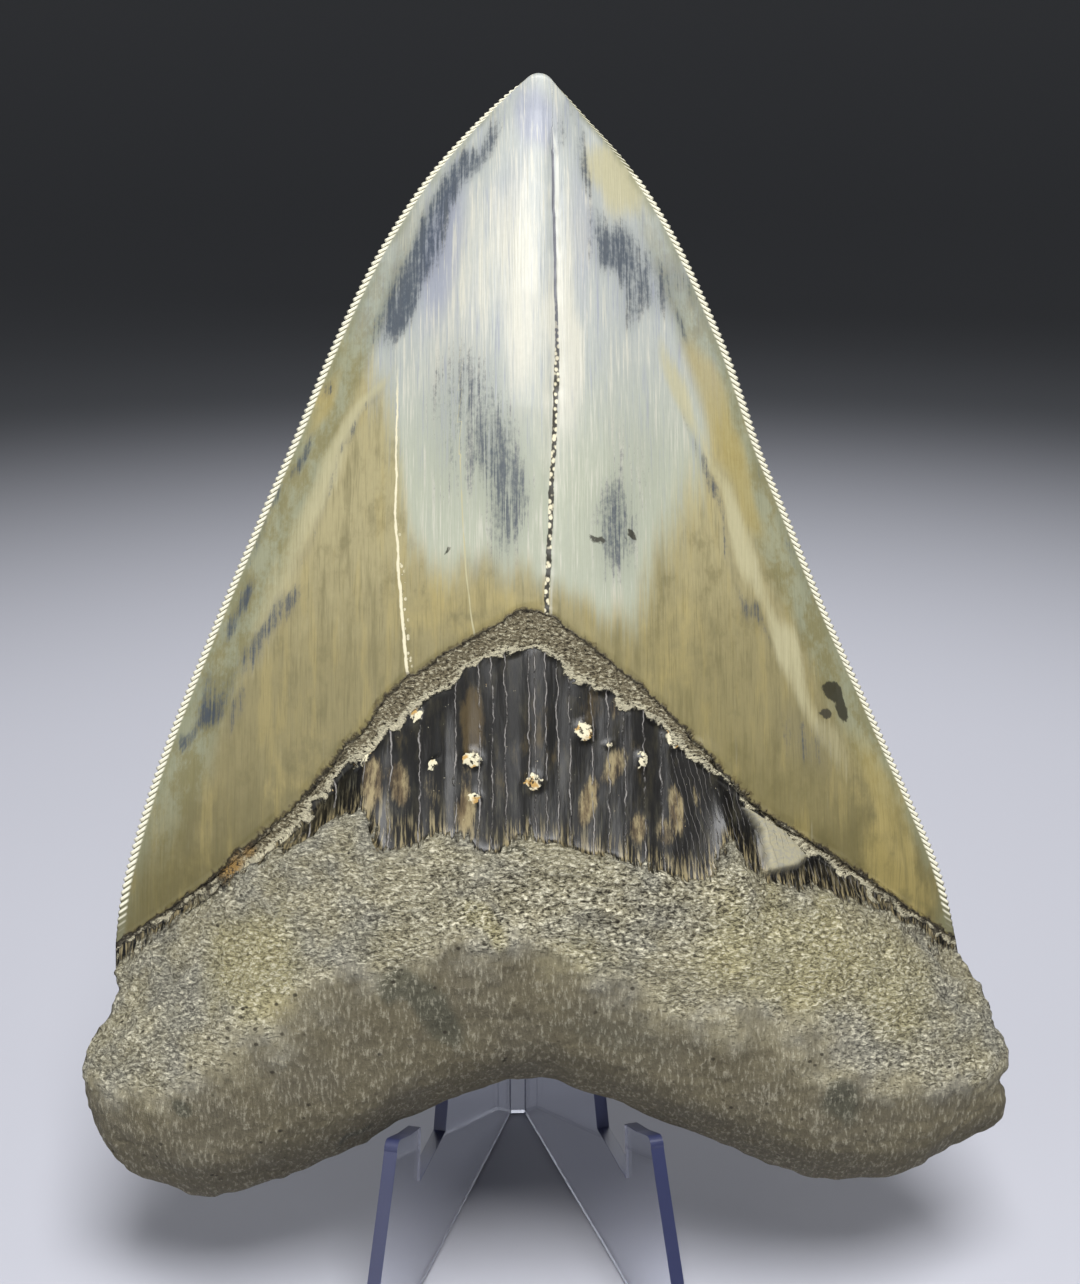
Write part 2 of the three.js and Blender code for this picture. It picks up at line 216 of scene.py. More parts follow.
def height_over_line(points, line_points):
    """Distance of each (x, t) point from a line, in millimetres: above it positive, below it negative."""
    line = smooth_curve(line_points)(np.linspace(0, 1, 160))
    nearest = np.full(len(points), 1e9)
    for a, b in zip(line, line[1:]):
        step = b - a
        along = np.clip(((points - a) @ step) / (step @ step), 0, 1)
        nearest = np.minimum(nearest, np.linalg.norm(points - a - along[:, None] * step, axis=1))
    order = np.argsort(line[:, 0])
    is_above = points[:, 1] > np.interp(points[:, 0], line[order, 0], line[order, 1])
    return np.where(is_above, nearest, -nearest)


ZONE_EDGES = [
    (ROOT_UNDERSIDE, ROOT_TOP_EDGE, ROOT_SIDE_LEFT, ROOT_SIDE_RIGHT),
    (
        ROOT_TOP_EDGE,
        BOURLETTE_TOP_EDGE,
        [ROOT_CORNER_LEFT, BOURLETTE_CORNER_LEFT],
        [ROOT_CORNER_RIGHT, BOURLETTE_CORNER_RIGHT],
    ),
    (
        BOURLETTE_TOP_EDGE,
        ENAMEL_EDGE,
        [BOURLETTE_CORNER_LEFT, ENAMEL_CORNER_LEFT],
        [BOURLETTE_CORNER_RIGHT, ENAMEL_CORNER_RIGHT],
    ),
    (ENAMEL_EDGE, TIP_CURVE, CROWN_EDGE_LEFT, CROWN_EDGE_RIGHT),
]
ZONE_CURVES = [[smooth_curve(edge) for edge in edges] for edges in ZONE_EDGES]


def flat_points(zone, up, across):
    """Where each (zone, up, across) lies on the tooth's outline, as x and t."""
    points = np.zeros(zone.shape + (2,))
    for index, (lower, upper, left, right) in enumerate(ZONE_CURVES):
        pick = zone == index
        a = across[pick][:, None]
        u = up[pick][:, None]
        points[pick] = (
            lower(across[pick]) * (1 - u)
            + upper(across[pick]) * u
            + left(up[pick]) * (1 - a)
            + right(up[pick]) * a
            - lower(0) * (1 - a) * (1 - u)
            - lower(1) * a * (1 - u)
            - upper(0) * (1 - a) * u
            - upper(1) * a * u
        )
    return points


def rim_depth(zone, up):
    root = RIM_DEPTH_ROOT + (RIM_DEPTH_CORNER - RIM_DEPTH_ROOT) * up**3
    crown = RIM_DEPTH_CORNER + (RIM_DEPTH_TIP - RIM_DEPTH_CORNER) * up
    return np.where(zone == ROOT, root, np.where(zone == CROWN, crown, RIM_DEPTH_CORNER))


def side_share(zone, up, points):
    """From -1 at the tooth's left edge to 1 at its right one, along each row."""
    left = flat_points(zone, up, np.zeros_like(up))[..., 0]
    right = flat_points(zone, up, np.ones_like(up))[..., 0]
    return np.clip(2 * (points[..., 0] - left) / (right - left) - 1, -1, 1)


def fullness(zone, up, across, points):
    """Share of its middle depth at each place: round at the root's edges, thin at the crown's."""
    side = np.abs(side_share(zone, up, points))
    roundness = np.where(zone == ROOT, 1 - up**2, 0)
    power = 2 + ROOT_SIDE_POWER * roundness
    thin = np.where(zone == CROWN, CROWN_THINNESS, BAND_THINNESS)
    thinness = thin + (ROOT_THINNESS - thin) * roundness
    full = (1 - side**power) ** thinness
    foot = flat_points(zone, np.zeros_like(up), across)
    rise = np.clip(np.linalg.norm(points - foot, axis=-1) / ROOT_ROUNDING, 0, 1)
    return np.where(zone == ROOT, full * np.sqrt(1 - (1 - rise) ** 2), full)


def depth(zone, up, across, points, crest):
    rim = rim_depth(zone, up)
    middle = flat_points(zone, up, np.full_like(up, 0.5))[..., 1]
    full = fullness(zone, up, across, points)
    return rim + (table_value(crest, middle) - rim) * full


# Seeded noise in three directions, for relief in the mesh


def lumps(points, size, seed):
    """Smooth random values from -1 to 1, with lumps about `size` millimetres across."""
    lattice = np.random.default_rng(seed).uniform(-1, 1, (LATTICE_SIZE,) * 3)
    place = points / np.asarray(size, float)
    low = np.floor(place).astype(int)
    part = place - low
    part = part * part * (3 - 2 * part)
    total = np.zeros(len(points))
    for dx in (0, 1):
        for dy in (0, 1):
            for dz in (0, 1):
                weight = np.ones(len(points))
                for axis, step in enumerate((dx, dy, dz)):
                    weight *= part[:, axis] if step else 1 - part[:, axis]
                corner = (low + (dx, dy, dz)) % LATTICE_SIZE
                total += weight * lattice[corner[:, 0], corner[:, 1], corner[:, 2]]
    return total


# Mesh of the tooth


def row_list():
    """The zone and the height in it of every row, from the underside to the tip."""
    root_ups = (np.arange(ROOT_ROWS) / ROOT_ROWS) ** 1.25
    parts = [
        (ROOT, root_ups),
        (BOURLETTE, np.arange(BOURLETTE_ROWS) / BOURLETTE_ROWS),
        (BAND, np.arange(BAND_ROWS) / BAND_ROWS),
        (CROWN, np.arange(CROWN_ROWS + 1) / CROWN_ROWS),
    ]
    zones = np.concatenate([np.full(len(ups), zone) for zone, ups in parts])
    return zones, np.concatenate([ups for _, ups in parts])


def fine_rows(zones, ups):
    """Rows of the strips along the edges, several to each row of the crown, with where each starts."""
    starts = []
    fine_zones = []
    fine_ups = []
    for row in range(len(zones) - 1):
        steps = STEPS_PER_CROWN_ROW if zones[row] == CROWN else 1
        top = ups[row + 1] if zones[row + 1] == zones[row] else 1
        for step in range(steps):
            starts.append(row + step / steps)
            fine_zones.append(zones[row])
            fine_ups.append(ups[row] + (top - ups[row]) * step / steps)
    starts.append(len(zones) - 1)
    fine_zones.append(zones[-1])
    fine_ups.append(ups[-1])
    return np.array(starts), np.array(fine_zones), np.array(fine_ups)


class ToothMesh:
    """Collects the vertices of the tooth, with where each lies on it, and its triangles."""

    def __init__(self):
        self.zone = []
        self.up = []
        self.across = []
        self.is_face = []
        self.ring = []
        self.count = 0
        self.triangles = []

    def add(self, zone, up, across, is_face, ring=-1):
        zone, up, across, ring = np.broadcast_arrays(zone, up, across, ring)
        start = self.count
        for kept, given in zip(
            (self.zone, self.up, self.across, self.is_face, self.ring),
            (zone, up, across, np.full(zone.shape, is_face), ring),
        ):
            kept.append(given.ravel())
        self.count += zone.size
        return np.arange(start, self.count).reshape(zone.shape)

    def face(self, a, b, c, flip):
        self.triangles.append(np.stack([a, c, b] if flip else [a, b, c], -1).reshape(-1, 3))

    def grid(self, block, flip):
        a, b = block[:-1, :-1], block[:-1, 1:]
        c, d = block[1:, 1:], block[1:, :-1]
        self.face(a, b, c, flip)
        self.face(a, c, d, flip)

    def zip_lines(self, first, first_places, second, second_places, flip):
        """Joins two lines of vertices that run side by side but have different numbers of points."""
        i = j = 0
        rows = []
        while i < len(first) - 1 or j < len(second) - 1:
            at_end = i == len(first) - 1
            if not at_end and (j == len(second) - 1 or first_places[i + 1] <= second_places[j + 1]):
                rows.append((first[i], first[i + 1], second[j]))
                i += 1
            else:
                rows.append((first[i], second[j + 1], second[j]))
                j += 1
        a, b, c = np.array(rows).T
        self.face(a, b, c, flip)


def row_widths(zone, up):
    left = flat_points(zone, up, np.zeros_like(up))
    right = flat_points(zone, up, np.ones_like(up))
    return np.maximum(np.linalg.norm(right - left, axis=-1), 16)


def crack_columns(zones, ups, across):
    """Moves the columns of the crown a little, so that one follows the middle crack."""
    column = np.argmin(np.abs(across[len(across) // 2] - CRACK_COLUMN_ACROSS))
    fade = np.where(zones == CROWN, smoothstep(0.8, 0.7, ups), 0)
    guess = np.full(len(ups), CRACK_COLUMN_ACROSS)
    for _ in range(3):
        points = flat_points(zones, ups, guess)
        wanted = table_value(MIDDLE_CRACK, points[:, 1])
        guess = guess + (wanted - points[:, 0]) / row_widths(zones, ups)
    shift = (guess - across[:, column]) * fade
    reach = np.exp(-(((across - across[:, column : column + 1]) / CRACK_COLUMN_REACH) ** 2))
    return across + shift[:, None] * reach


def build_tooth():
    mesh = ToothMesh()
    zones, ups = row_list()
    starts, fine_zones, fine_ups = fine_rows(zones, ups)
    last = len(zones) - 1
    fine_widths = row_widths(fine_zones, fine_ups)
    widths = row_widths(zones, ups)
    ring_numbers = np.arange(len(RING_DISTANCES))
    ring_across = np.array(RING_DISTANCES)[None, :] / fine_widths[:, None]
    is_shared_row = (starts == 0) | (starts == last)
    shared = {}

    crown_row = int(np.argmax(zones == CROWN))
    for is_face, low_columns, crown_columns in (
        (True, FACE_COLUMNS_LOW, FACE_COLUMNS_CROWN),
        (False, BACK_COLUMNS_LOW, BACK_COLUMNS_CROWN),
    ):
        flip = not is_face
        # Strips along both edges, with their rim and end rows shared by face and back
        strips = {}
        for side in (0, 1):
            places = ring_across if side == 0 else 1 - ring_across
            strip = np.zeros(places.shape, int)
            for ring in ring_numbers:
                is_shared = is_shared_row | (ring == 0)
                fresh = np.ones(len(starts), bool) if is_face else ~is_shared
                strip[fresh, ring] = mesh.add(
                    fine_zones[fresh], fine_ups[fresh], places[fresh, ring], is_face, ring
                )
                if is_face:
                    shared[side, ring] = strip[:, ring]
                else:
                    strip[~fresh, ring] = shared[side, ring][~fresh]
            strips[side] = strip
            mesh.grid(strip, flip if side == 0 else not flip)

        # Grids between the strips: a fine one up to the enamel, a coarser one on the crown
        lines = {}
        for low_row, high_row, columns in (
            (1, crown_row - 1, low_columns),
            (crown_row, last - 1, crown_columns),
        ):
            spread = np.linspace(0, 1, columns)
            spread = 0.75 * spread + 0.25 * (0.5 - 0.5 * np.cos(math.pi * spread))
            rows = np.arange(low_row, high_row + 1)
            first = (FIRST_COLUMN_DISTANCE / widths[rows])[:, None]
            across = first + (1 - 2 * first) * spread[None, :]
            if is_face and zones[low_row] == CROWN:
                across = crack_columns(zones[rows], ups[rows], across)
            grid = mesh.add(zones[rows, None], ups[rows, None], across, is_face)
            mesh.grid(grid, flip)
            beside = (starts >= low_row) & (starts <= high_row)
            mesh.zip_lines(grid[:, 0], rows, strips[0][beside, -1], starts[beside], flip)
            mesh.zip_lines(grid[:, -1], rows, strips[1][beside, -1], starts[beside], not flip)
            lines[low_row] = grid[0], across[0]
            lines[high_row] = grid[-1], across[-1]

        # The underside and the tip, where both faces meet in one row
        for row, near in ((0, 1), (last, last - 1)):
            if is_face:
                places = lines[near][1]
                shared[row] = mesh.add(zones[row], ups[row], places, True, 0), places
            lines[row] = shared[row]

        # Join the rows where the number of columns changes
        for row, near in ((0, 1), (crown_row, crown_row - 1), (last, last - 1)):
            fine_row = np.argmin(np.abs(starts - row))
            beside = np.argmin(np.abs(starts - near))
            toward = 1 if fine_row > beside else -1
            corner = np.arange(beside + toward, fine_row + toward, toward)
            before = np.linspace(-0.02, -0.01, len(corner))
            outer = np.concatenate([strips[0][corner, -1], lines[row][0], strips[1][corner[::-1], -1]])
            outer_places = np.concatenate([before, lines[row][1], 1 - before[::-1]])
            inside = np.concatenate([strips[0][[beside], -1], lines[near][0], strips[1][[beside], -1]])
            inside_places = np.concatenate([[-0.03], lines[near][1], [1.03]])
            mesh.zip_lines(outer, outer_places, inside, inside_places, flip != (row > near))
    return mesh


def grow_tooth():
    """The tooth's vertices and triangles, with what its relief and colours are worked out from."""
    mesh = build_tooth()
    zone, up, across, is_face, ring = (
        np.concatenate(kept) for kept in (mesh.zone, mesh.up, mesh.across, mesh.is_face, mesh.ring)
    )
    triangles = np.vstack(mesh.triangles)
    flat = flat_points(zone, up, across)
    w = np.where(
        is_face,
        depth(zone, up, across, flat, FACE_CREST),
        depth(zone, up, across, flat, BACK_CREST),
    )
    place = np.column_stack([flat, w])
    side = side_share(zone, up, flat)
    return {
        "zone": zone,
        "up": up,
        "across": across,
        "side": side,
        "is_face": is_face,
        "ring": ring,
        "place": place,
        "triangles": triangles,
    }


def vertex_normals(place, triangles):
    a, b, c = (place[triangles[:, k]] for k in range(3))
    across = np.cross(b - a, c - a)
    normals = np.zeros_like(place)
    for k in range(3):
        np.add.at(normals, triangles[:, k], across)
    return normals / np.maximum(np.linalg.norm(normals, axis=1), 1e-12)[:, None]


def inside_polygon(points, outline):
    """How far inside an outline each point lies, in millimetres, negative outside it."""
    corners = np.array(outline, float)
    nearest = np.full(len(points), 1e9)
    crossings = np.zeros(len(points), int)
    for a, b in zip(corners, np.roll(corners, -1, axis=0)):
        along = np.clip(((points - a) @ (b - a)) / ((b - a) @ (b - a)), 0, 1)
        nearest = np.minimum(nearest, np.linalg.norm(points - a - along[:, None] * (b - a), axis=1))
        spans = (a[1] > points[:, 1]) != (b[1] > points[:, 1])
        cut = a[0] + (points[:, 1] - a[1]) * (b[0] - a[0]) / ((b[1] - a[1]) or 1e-9)
        crossings += spans & (points[:, 0] < cut)
    return np.where(crossings % 2 == 1, nearest, -nearest)


def zone_distances(tooth):
    """Millimetres of each vertex above the edges of the enamel, the dark band and the root."""
    place = tooth["place"]
    flat = place[:, :2]
    ragged = 0.6 * lumps(place, 2.2, 11) + 0.4 * lumps(place, 1.1, 12)
    softer = 0.35 * lumps(place, 3, 13)
    above_back = height_over_line(flat, BACK_ENAMEL_EDGE)
    results = []
    for edge, back_drop, wobble in (
        (ENAMEL_EDGE, 0, 0.45 * ragged + softer),
        (BOURLETTE_TOP_EDGE, BACK_LINE_WIDTH * 0.3, ragged),
        (ROOT_TOP_EDGE, BACK_LINE_WIDTH, 1.3 * ragged),
    ):
        above_face = height_over_line(flat, edge)
        chosen = np.where(tooth["is_face"], above_face, above_back + back_drop)
        results.append(chosen + np.where(tooth["is_face"], 1, 0.5) * wobble)
    return np.clip(np.stack(results, -1), -FAR, FAR)


def serration_wave(tooth):
    """Rises from 0 in the gaps between serrations to 1 on their tops."""
    phase = tooth["up"] * SERRATION_COUNT * 2 * math.pi
    return np.where(tooth["zone"] == CROWN, 0.5 - 0.5 * np.cos(phase), 0)


def shape_serrations(tooth):
    """Pulls the rim out and in along the crown, and swells each serration's sides."""
    place = tooth["place"]
    wave = serration_wave(tooth)
    up = tooth["up"]
    strength = np.clip(np.minimum(up / SERRATION_FADE[0], (1 - up) / SERRATION_FADE[1]), 0, 1)
    strength = np.where(tooth["zone"] == CROWN, strength, 0)
    left = tooth["across"] < 0.5
    worn = ~left & (tooth["zone"] == CROWN) & (up > WORN_EDGE_FROM)
    strength = np.where(worn, strength * WORN_EDGE_SHARE, strength)
    outward = np.zeros_like(place)
    for is_left, edge, sign in ((True, CROWN_EDGE_LEFT, -1), (False, CROWN_EDGE_RIGHT, 1)):
        curve = smooth_curve(edge)
        direction = curve(np.clip(up + 0.002, 0, 1)) - curve(np.clip(up - 0.002, 0, 1))
        direction /= np.linalg.norm(direction, axis=1)[:, None]
        pick = left == is_left
        outward[pick, 0] = (direction[:, 1] * sign)[pick]
        outward[pick, 1] = (-direction[:, 0] * sign)[pick]
    reach = np.array(RING_PULL)[tooth["ring"]]
    place += outward * (reach * strength * SERRATION_HEIGHT * (2 * wave**0.6 - 1))[:, None]
    swell = np.array(RING_SWELL)[tooth["ring"]]
    lift = swell * strength * SERRATION_BULGE * (wave**0.7 - 0.25)
    place[:, 2] += np.where(tooth["is_face"], lift, -lift)
    tooth["serration"] = np.where(tooth["ring"] >= 0, wave, 0.5) * np.minimum(1, strength)


def crack_distances(tooth):
    """Distance to the right of each crack, large where the crack doesn't run."""
    x, t, _ = tooth["place"].T
    results = []
    for crack in (MIDDLE_CRACK, LEFT_CRACK, FAINT_CRACK):
        beyond = np.maximum(0, np.maximum(crack[0][0] - 1 - t, t - crack[-1][0]))
        distance = x - table_value(crack, t) + CRACK_WANDER * lumps(tooth["place"], (3, 3, 9), 21)
        distance = distance + np.sign(distance) * beyond * 0.2
        results.append(np.where(tooth["is_face"], distance, FAR))
    return np.clip(np.stack(results, -1), -FAR, FAR)


def raise_relief(tooth):
    """Moves the surface along its normals: enamel step, ledges, folds, cracks and the rough root."""
    place = tooth["place"]
    normals = vertex_normals(place, tooth["triangles"])
    enamel, bourlette, root = tooth["distances"].T
    side = tooth["side"]
    is_face = tooth["is_face"]
    inner = 1 - np.abs(side) ** 4
    height = np.zeros(len(place))

    # Below the enamel everything lies one layer deeper
    bare = 1 - smoothstep(-0.25, 0.25, enamel)
    height -= bare * ENAMEL_THICKNESS * np.where(is_face, 1, 0.5) * inner

    # Crumbs of the pale band
    in_band = smoothstep(0.2, -0.2, enamel) * smoothstep(-0.3, 0.3, bourlette) * is_face
    height += in_band * (CRUMB_SWING * lumps(place, 1.3, 31) + CRUMB_RISE) * inner

    # Dark band: shallow upright ribs
    in_dark = smoothstep(0.2, -0.4, bourlette) * smoothstep(-0.4, 0.3, root) * is_face
    height += in_dark * DARK_RIBS_HEIGHT * lumps(place, (1.6, 14, 9), 32) * inner

    tooth["stuck"] = small_spots(tooth, CRUMB_STROKES)
    height += tooth["stuck"] * np.maximum(0, 0.45 + 0.35 * lumps(place, 0.9, 41))

    # Root: a ledge at its top, broad lumps and grain, stronger on its upper half
    on_root = smoothstep(0.3, -0.5, root)
    upper = smoothstep(-24, -2, root)
    ledge = np.exp(-(((root + 1.8) / 2.6) ** 2)) * is_face
    height += on_root * ROOT_LEDGE * 0.7 * ledge * inner
    broad = 0.45 * lumps(place, 13, 33) + 0.4 * lumps(place, 6, 34)
    grain = 0.34 * lumps(place, (2.8, 1.9, 2), 35) + 0.36 * lumps(place, (1.5, 1.0, 1.2), 36)
    ribs = 0.22 * lumps(place, (1.5, 9, 4), 37)
    cleft = np.minimum(0, np.abs(lumps(place, (7, 3.4, 4), 40)) - 0.12) * 5 * (0.4 + 0.6 * upper)
    rough = broad + grain * (0.3 + 0.9 * upper) + ribs * (1 - upper) + 0.5 * cleft
    tooth["grain"] = grain / 0.7 + 0.6 * cleft
    height += on_root * np.where(is_face, rough, 0.45 * rough - 0.35)

    # Folds between the crown's thin flanks and its full middle
    up = np.where(tooth["zone"] == CROWN, tooth["up"], 0)
    for low, high in (FOLD_LEFT, FOLD_RIGHT):
        middle = low + (high - low) * up
        fold = np.exp(-(((side - middle) / FOLD_WIDTH) ** 2)) * np.maximum(0, 1 - 1.3 * up)
        height += FOLD_HEIGHT * fold * is_face * (tooth["zone"] == CROWN) * smoothstep(0, 4, enamel)

    # Cracks: the middle one is open, the left one is filled and stands a little proud
    middle_crack, left_crack, _ = tooth["cracks"].T
    groove = np.exp(-((middle_crack / MIDDLE_CRACK_WIDTH) ** 2)) * (0.8 + 0.5 * lumps(place, 1.2, 38))
    height -= MIDDLE_CRACK_DEPTH * groove * smoothstep(-0.5, 1, enamel)
    filling = np.exp(-((left_crack / FILLED_CRACK_WIDTH) ** 2))
    height += FILLED_CRACK_HEIGHT * filling * smoothstep(-0.5, 1, enamel)

    # A flat chip of enamel that stayed on the dark band
    chip = smoothstep(-0.15, 0.35, inside_polygon(place[:, :2], CHIP_OUTLINE)) * is_face
    height = height * (1 - 0.8 * chip) + CHIP_HEIGHT * chip

    # The crown's own faint waves
    height += CROWN_WAVE_HEIGHT * lumps(place, (2.2, 18, 9), 39) * smoothstep(0, 2, enamel) * inner

    edge_of_crown = (tooth["ring"] >= 0) & (tooth["zone"] == CROWN)
    height = np.where(edge_of_crown, 0, height)
    tooth["chip"] = chip
    tooth["place"] = place + normals * height[:, None]


# Pigment of the enamel, with painted highlights and shade along its folds, as soft strokes: x, t, half
# width, half height, lean in degrees, strength

# Slate patches; the thin lines just beside the folds are painted shade
SLATE_AND_FOLD_SHADE_STROKES = [
    (-13.2, 48.5, 3, 8.5, 28, 1), (-15.8, 44, 2.2, 4.6, 28, 1), (-6.4, 62.5, 1.5, 9, 29, 0.85),
    (-10, 56, 2, 7, 28, 0.8), (12.2, 51.4, 3.6, 4.8, -12, 1), (18.2, 47.6, 4.4, 4.6, -30, 0.7),
    (15, 44.5, 2.4, 4, -10, 0.6), (9, 62, 1.2, 5.5, -6, 0.6), (5.5, 67.5, 1.4, 3.5, -10, 0.5),
    (7.4, 69, 1.1, 3.5, -30, 0.45), (21, 41.5, 0.6, 2.6, -20, 0.9), (23.6, 45, 1.2, 5, -26, 0.45),
    (-1.8, 19, 3, 10, 0, 0.85), (-5.2, 27, 6, 11, 3, 0.55), (-8.5, 33, 3.4, 8, 3, 0.3),
    (12.3, 13.5, 3, 7, 0, 0.75), (15, 22, 4.5, 9, -6, 0.3), (25.4, 17.5, 0.8, 12, -17, 0.6),
    (30.4, 3, 0.9, 5, -28, 0.6), (37, -11.8, 3, 5.5, -24, 0.45), (-20.4, 29.5, 0.6, 6, 28, 0.45),
    (-26, 16, 0.6, 9, 18, 0.4), (-25.2, 33.5, 0.8, 1.2, 20, 0.8), (-28.6, 25, 0.9, 2.4, 24, 0.8),
    (-31.6, 19, 0.8, 2.6, 24, 0.75), (-34, 14.2, 1, 3.2, 24, 0.6), (-35.4, 7.2, 1, 3.4, 20, 1),
    (-37.6, 2.6, 1.4, 2.6, 30, 0.6), (-32, 2, 1.1, 5.5, 40, 0.7), (-29.4, 5.4, 0.8, 2.6, 48, 0.6),
    (-34.6, -2.4, 1.6, 3.4, 30, 0.6), (-39.6, -5.6, 2.2, 3.4, 36, 0.5), (-40.4, -8, 1.2, 3.4, 32, 1),
    (-43.2, -11.4, 1, 1.8, 30, 1), (-36.4, -8.6, 1.5, 3, 30, 0.5), (37, 11, 1.2, 7.5, -27, 0.35),
    (31.4, 24, 1, 7, -20, 0.25),
]
# Cream patches; the long strokes down both folds are painted highlights on their ridges
CREAM_AND_FOLD_HIGHLIGHT_STROKES = [
    (13.2, 60.8, 3.9, 5.6, -28, 1), (21.5, 31.5, 1.3, 10, -20, 0.85), (28.6, 14, 1.6, 9.5, -19, 0.95),
    (35, -1, 1.9, 8.5, -27, 0.9), (40, -12, 1.6, 6, -27, 0.5), (-20.3, 31, 1.1, 7.5, 30, 0.75),
    (-25.4, 20.5, 1.7, 9, 24, 0.8), (-30.6, 8, 2.2, 8, 24, 0.55), (-33.8, -1, 2.6, 7, 26, 0.4),
]
# White along the middle crack: partly the enamel's own colour, partly a painted sheen
WHITE_AND_SHEEN_STROKES = [
    (0.6, 44, 2.6, 18, 0, 0.9), (5.8, 37, 2.6, 14, -2, 1), (-4, 52, 4.5, 12, 10, 0.5),
    (-7, 38, 5, 12, 6, 0.35), (3.6, 25, 1.6, 10, 0, 0.5), (7, 52, 2, 10, -4, 0.5),
    (-12, 36, 3, 8, 10, 0.3),
]
LAVENDER_STROKES = [
    (-9.5, 50, 3.4, 12, 14, 0.9), (2.5, 69, 3, 6, 0, 1), (-1, 58, 3, 8, 0, 0.5),
    (8.4, 52, 1.6, 12, -3, 0.6),
]
YELLOW_STROKES = [
    (24.5, 32, 2.6, 9, -20, 0.9), (29.4, 20, 1.8, 8, -20, 0.6), (47, -20, 4, 9, -24, 0.6),
    (-26, 31, 1.6, 6, 24, 0.6), (20, 0, 8, 8, 0, 0.3), (-6, 4, 12, 4, 0, 0.5),
    (-27, -18, 6, 8, 10, 0.4), (-44, -30, 5, 7, 15, 0.3), (50, -31, 5, 8, -20, 0.9),
]
SPOT_STROKES = [
    (41.2, -6.5, 1.5, 1.2, 20, 1), (42.4, -8.9, 0.8, 1.8, -15, 0.9), (40, -9.4, 0.9, 0.7, 0, 0.8),
    (9.9, 12.9, 0.75, 0.55, 30, 1), (11, 13.4, 0.5, 0.4, 0, 0.9), (14.2, 13.5, 0.6, 0.6, 0, 1),
    (13.3, 12.8, 0.35, 0.35, 0, 0.8), (-9, 11.5, 0.6, 0.5, 0, 0.7), (-24, -7, 3, 4, 10, 0.18),
]
# Height up to which the enamel is tan, and how soft that edge is, by x
TAN_TOP = [
    (-60, 60), (-28, 52), (-21, 40), (-15.5, 27), (-14, 15), (-9, 9), (1, 7.5), (8, 6), (14, 3),
    (20, 16), (27, 32), (33, 48), (60, 60),
]
TAN_SOFTNESS = [(-60, 10), (-16, 13), (-13, 6), (9, 5), (14, 8), (22, 15), (60, 10)]
ROOT_DARK_STROKES = [
    (-13.5, -42, 5, 2.6, 30, 1), (-9.5, -46.5, 2.4, 3.6, -30, 0.9), (-0.4, -26.9, 2.4, 0.45, 25, 1),
    (-3.5, -26.3, 1.1, 0.4, -28, 1), (39, -57, 3.2, 2.4, 0, 0.9), (-42, -58, 1.6, 1.2, 30, 1),
    (-21, -61, 4, 0.5, -24, 0.9), (17, -49, 12, 3, 0, 0.35), (-30, -50, 9, 4, 10, 0.3),
    (8, -46, 9, 3.5, 0, 0.35),
]
# Where the painted shade in the root's hollows and the painted highlight on its grain are strongest
ROOT_PAINTED_LIGHT_STROKES = [(8, -32, 26, 6, 0, 1), (-8, -38, 12, 4, 0, 0.6), (46, -48, 12, 12, 0, 0.3)]
ROOT_YELLOW_STROKES = [
    (-33, -40, 7, 8, 0, 1), (33, -38, 14, 8, 0, 0.9), (48, -44, 7, 8, 0, 0.7),
    (-5.4, -34.5, 3, 2.6, 0, 0.9), (6, -39, 10, 4, 0, 0.5), (-18, -36, 6, 4, 0, 0.4),
]
# Marks inside the dark band: pale drops, crumbs that stuck to it and brown smoke
TEAR_STROKES = [
    (-18.4, -17.4, 1.5, 3.4, 0, 0.8), (-15.1, -17.7, 1.4, 3.1, -8, 0.85),
    (-11.1, -19, 1.3, 3.6, 0, 0.4), (-6.8, -20.8, 1.2, 2.6, 0, 1), (-6.5, -16.9, 0.9, 1.9, 0, 0.5),
    (12, -8, 0.9, 1.9, 10, 0.6), (11.8, -15.6, 1.3, 2.6, 25, 0.75), (8.4, -19.8, 1.1, 3.2, 15, 0.9),
    (14.6, -23.2, 1.2, 2, 0, 0.8), (19.6, -20.9, 1, 3.2, -8, 0.8), (18.2, -23.8, 1.4, 2, 0, 0.6),
    (22.4, -20, 0.7, 2.6, -14, 0.4),
]
CRUMB_STROKES = [
    (-6.1, -14.4, 1.1, 0.9, 0, 1), (-5.7, -19.1, 0.6, 0.7, 0, 1), (1.6, -17.1, 1, 0.9, 30, 1),
    (8.1, -11, 0.9, 1.1, 0, 1), (-20.4, -13.5, 1.2, 1.3, 0, 1), (-24.6, -18.1, 0.7, 0.5, 0, 1),
    (19.8, -11.6, 1.1, 1.6, 0, 1), (23.7, -14, 1.1, 1.2, -40, 1), (-11.1, -15, 0.55, 0.6, 0, 1),
    (16.6, -8.2, 0.6, 1.5, 0, 0.9), (-13.2, -8.9, 0.7, 0.9, 0, 0.9), (15.5, -14.6, 0.6, 1.1, 0, 0.7),
    (11.4, -12.7, 0.4, 0.4, 0, 0.8),
]
BROWN_STROKES = [
    (-5.9, -10.1, 1.7, 4.6, 0, 1), (-15, -11, 1.4, 3, 0, 0.4), (3.5, -11, 3, 5, 0, 0.5),
    (9, -8.6, 1.6, 3, 0, 0.6), (14.6, -14, 1.4, 4, 0, 0.5), (-1, -16, 3, 6, 0, 0.4),
]
# Crumbs of ochre along the enamel's lower left edge
OCHRE_STROKES = [(-36.8, -28.8, 1.7, 1.1, -35, 1), (-34.6, -26.6, 0.9, 0.7, 0, 0.8)]
# How the colours of the display face are carried over to the back
BACK_SHIFT = 9
BACK_MIRROR = 5


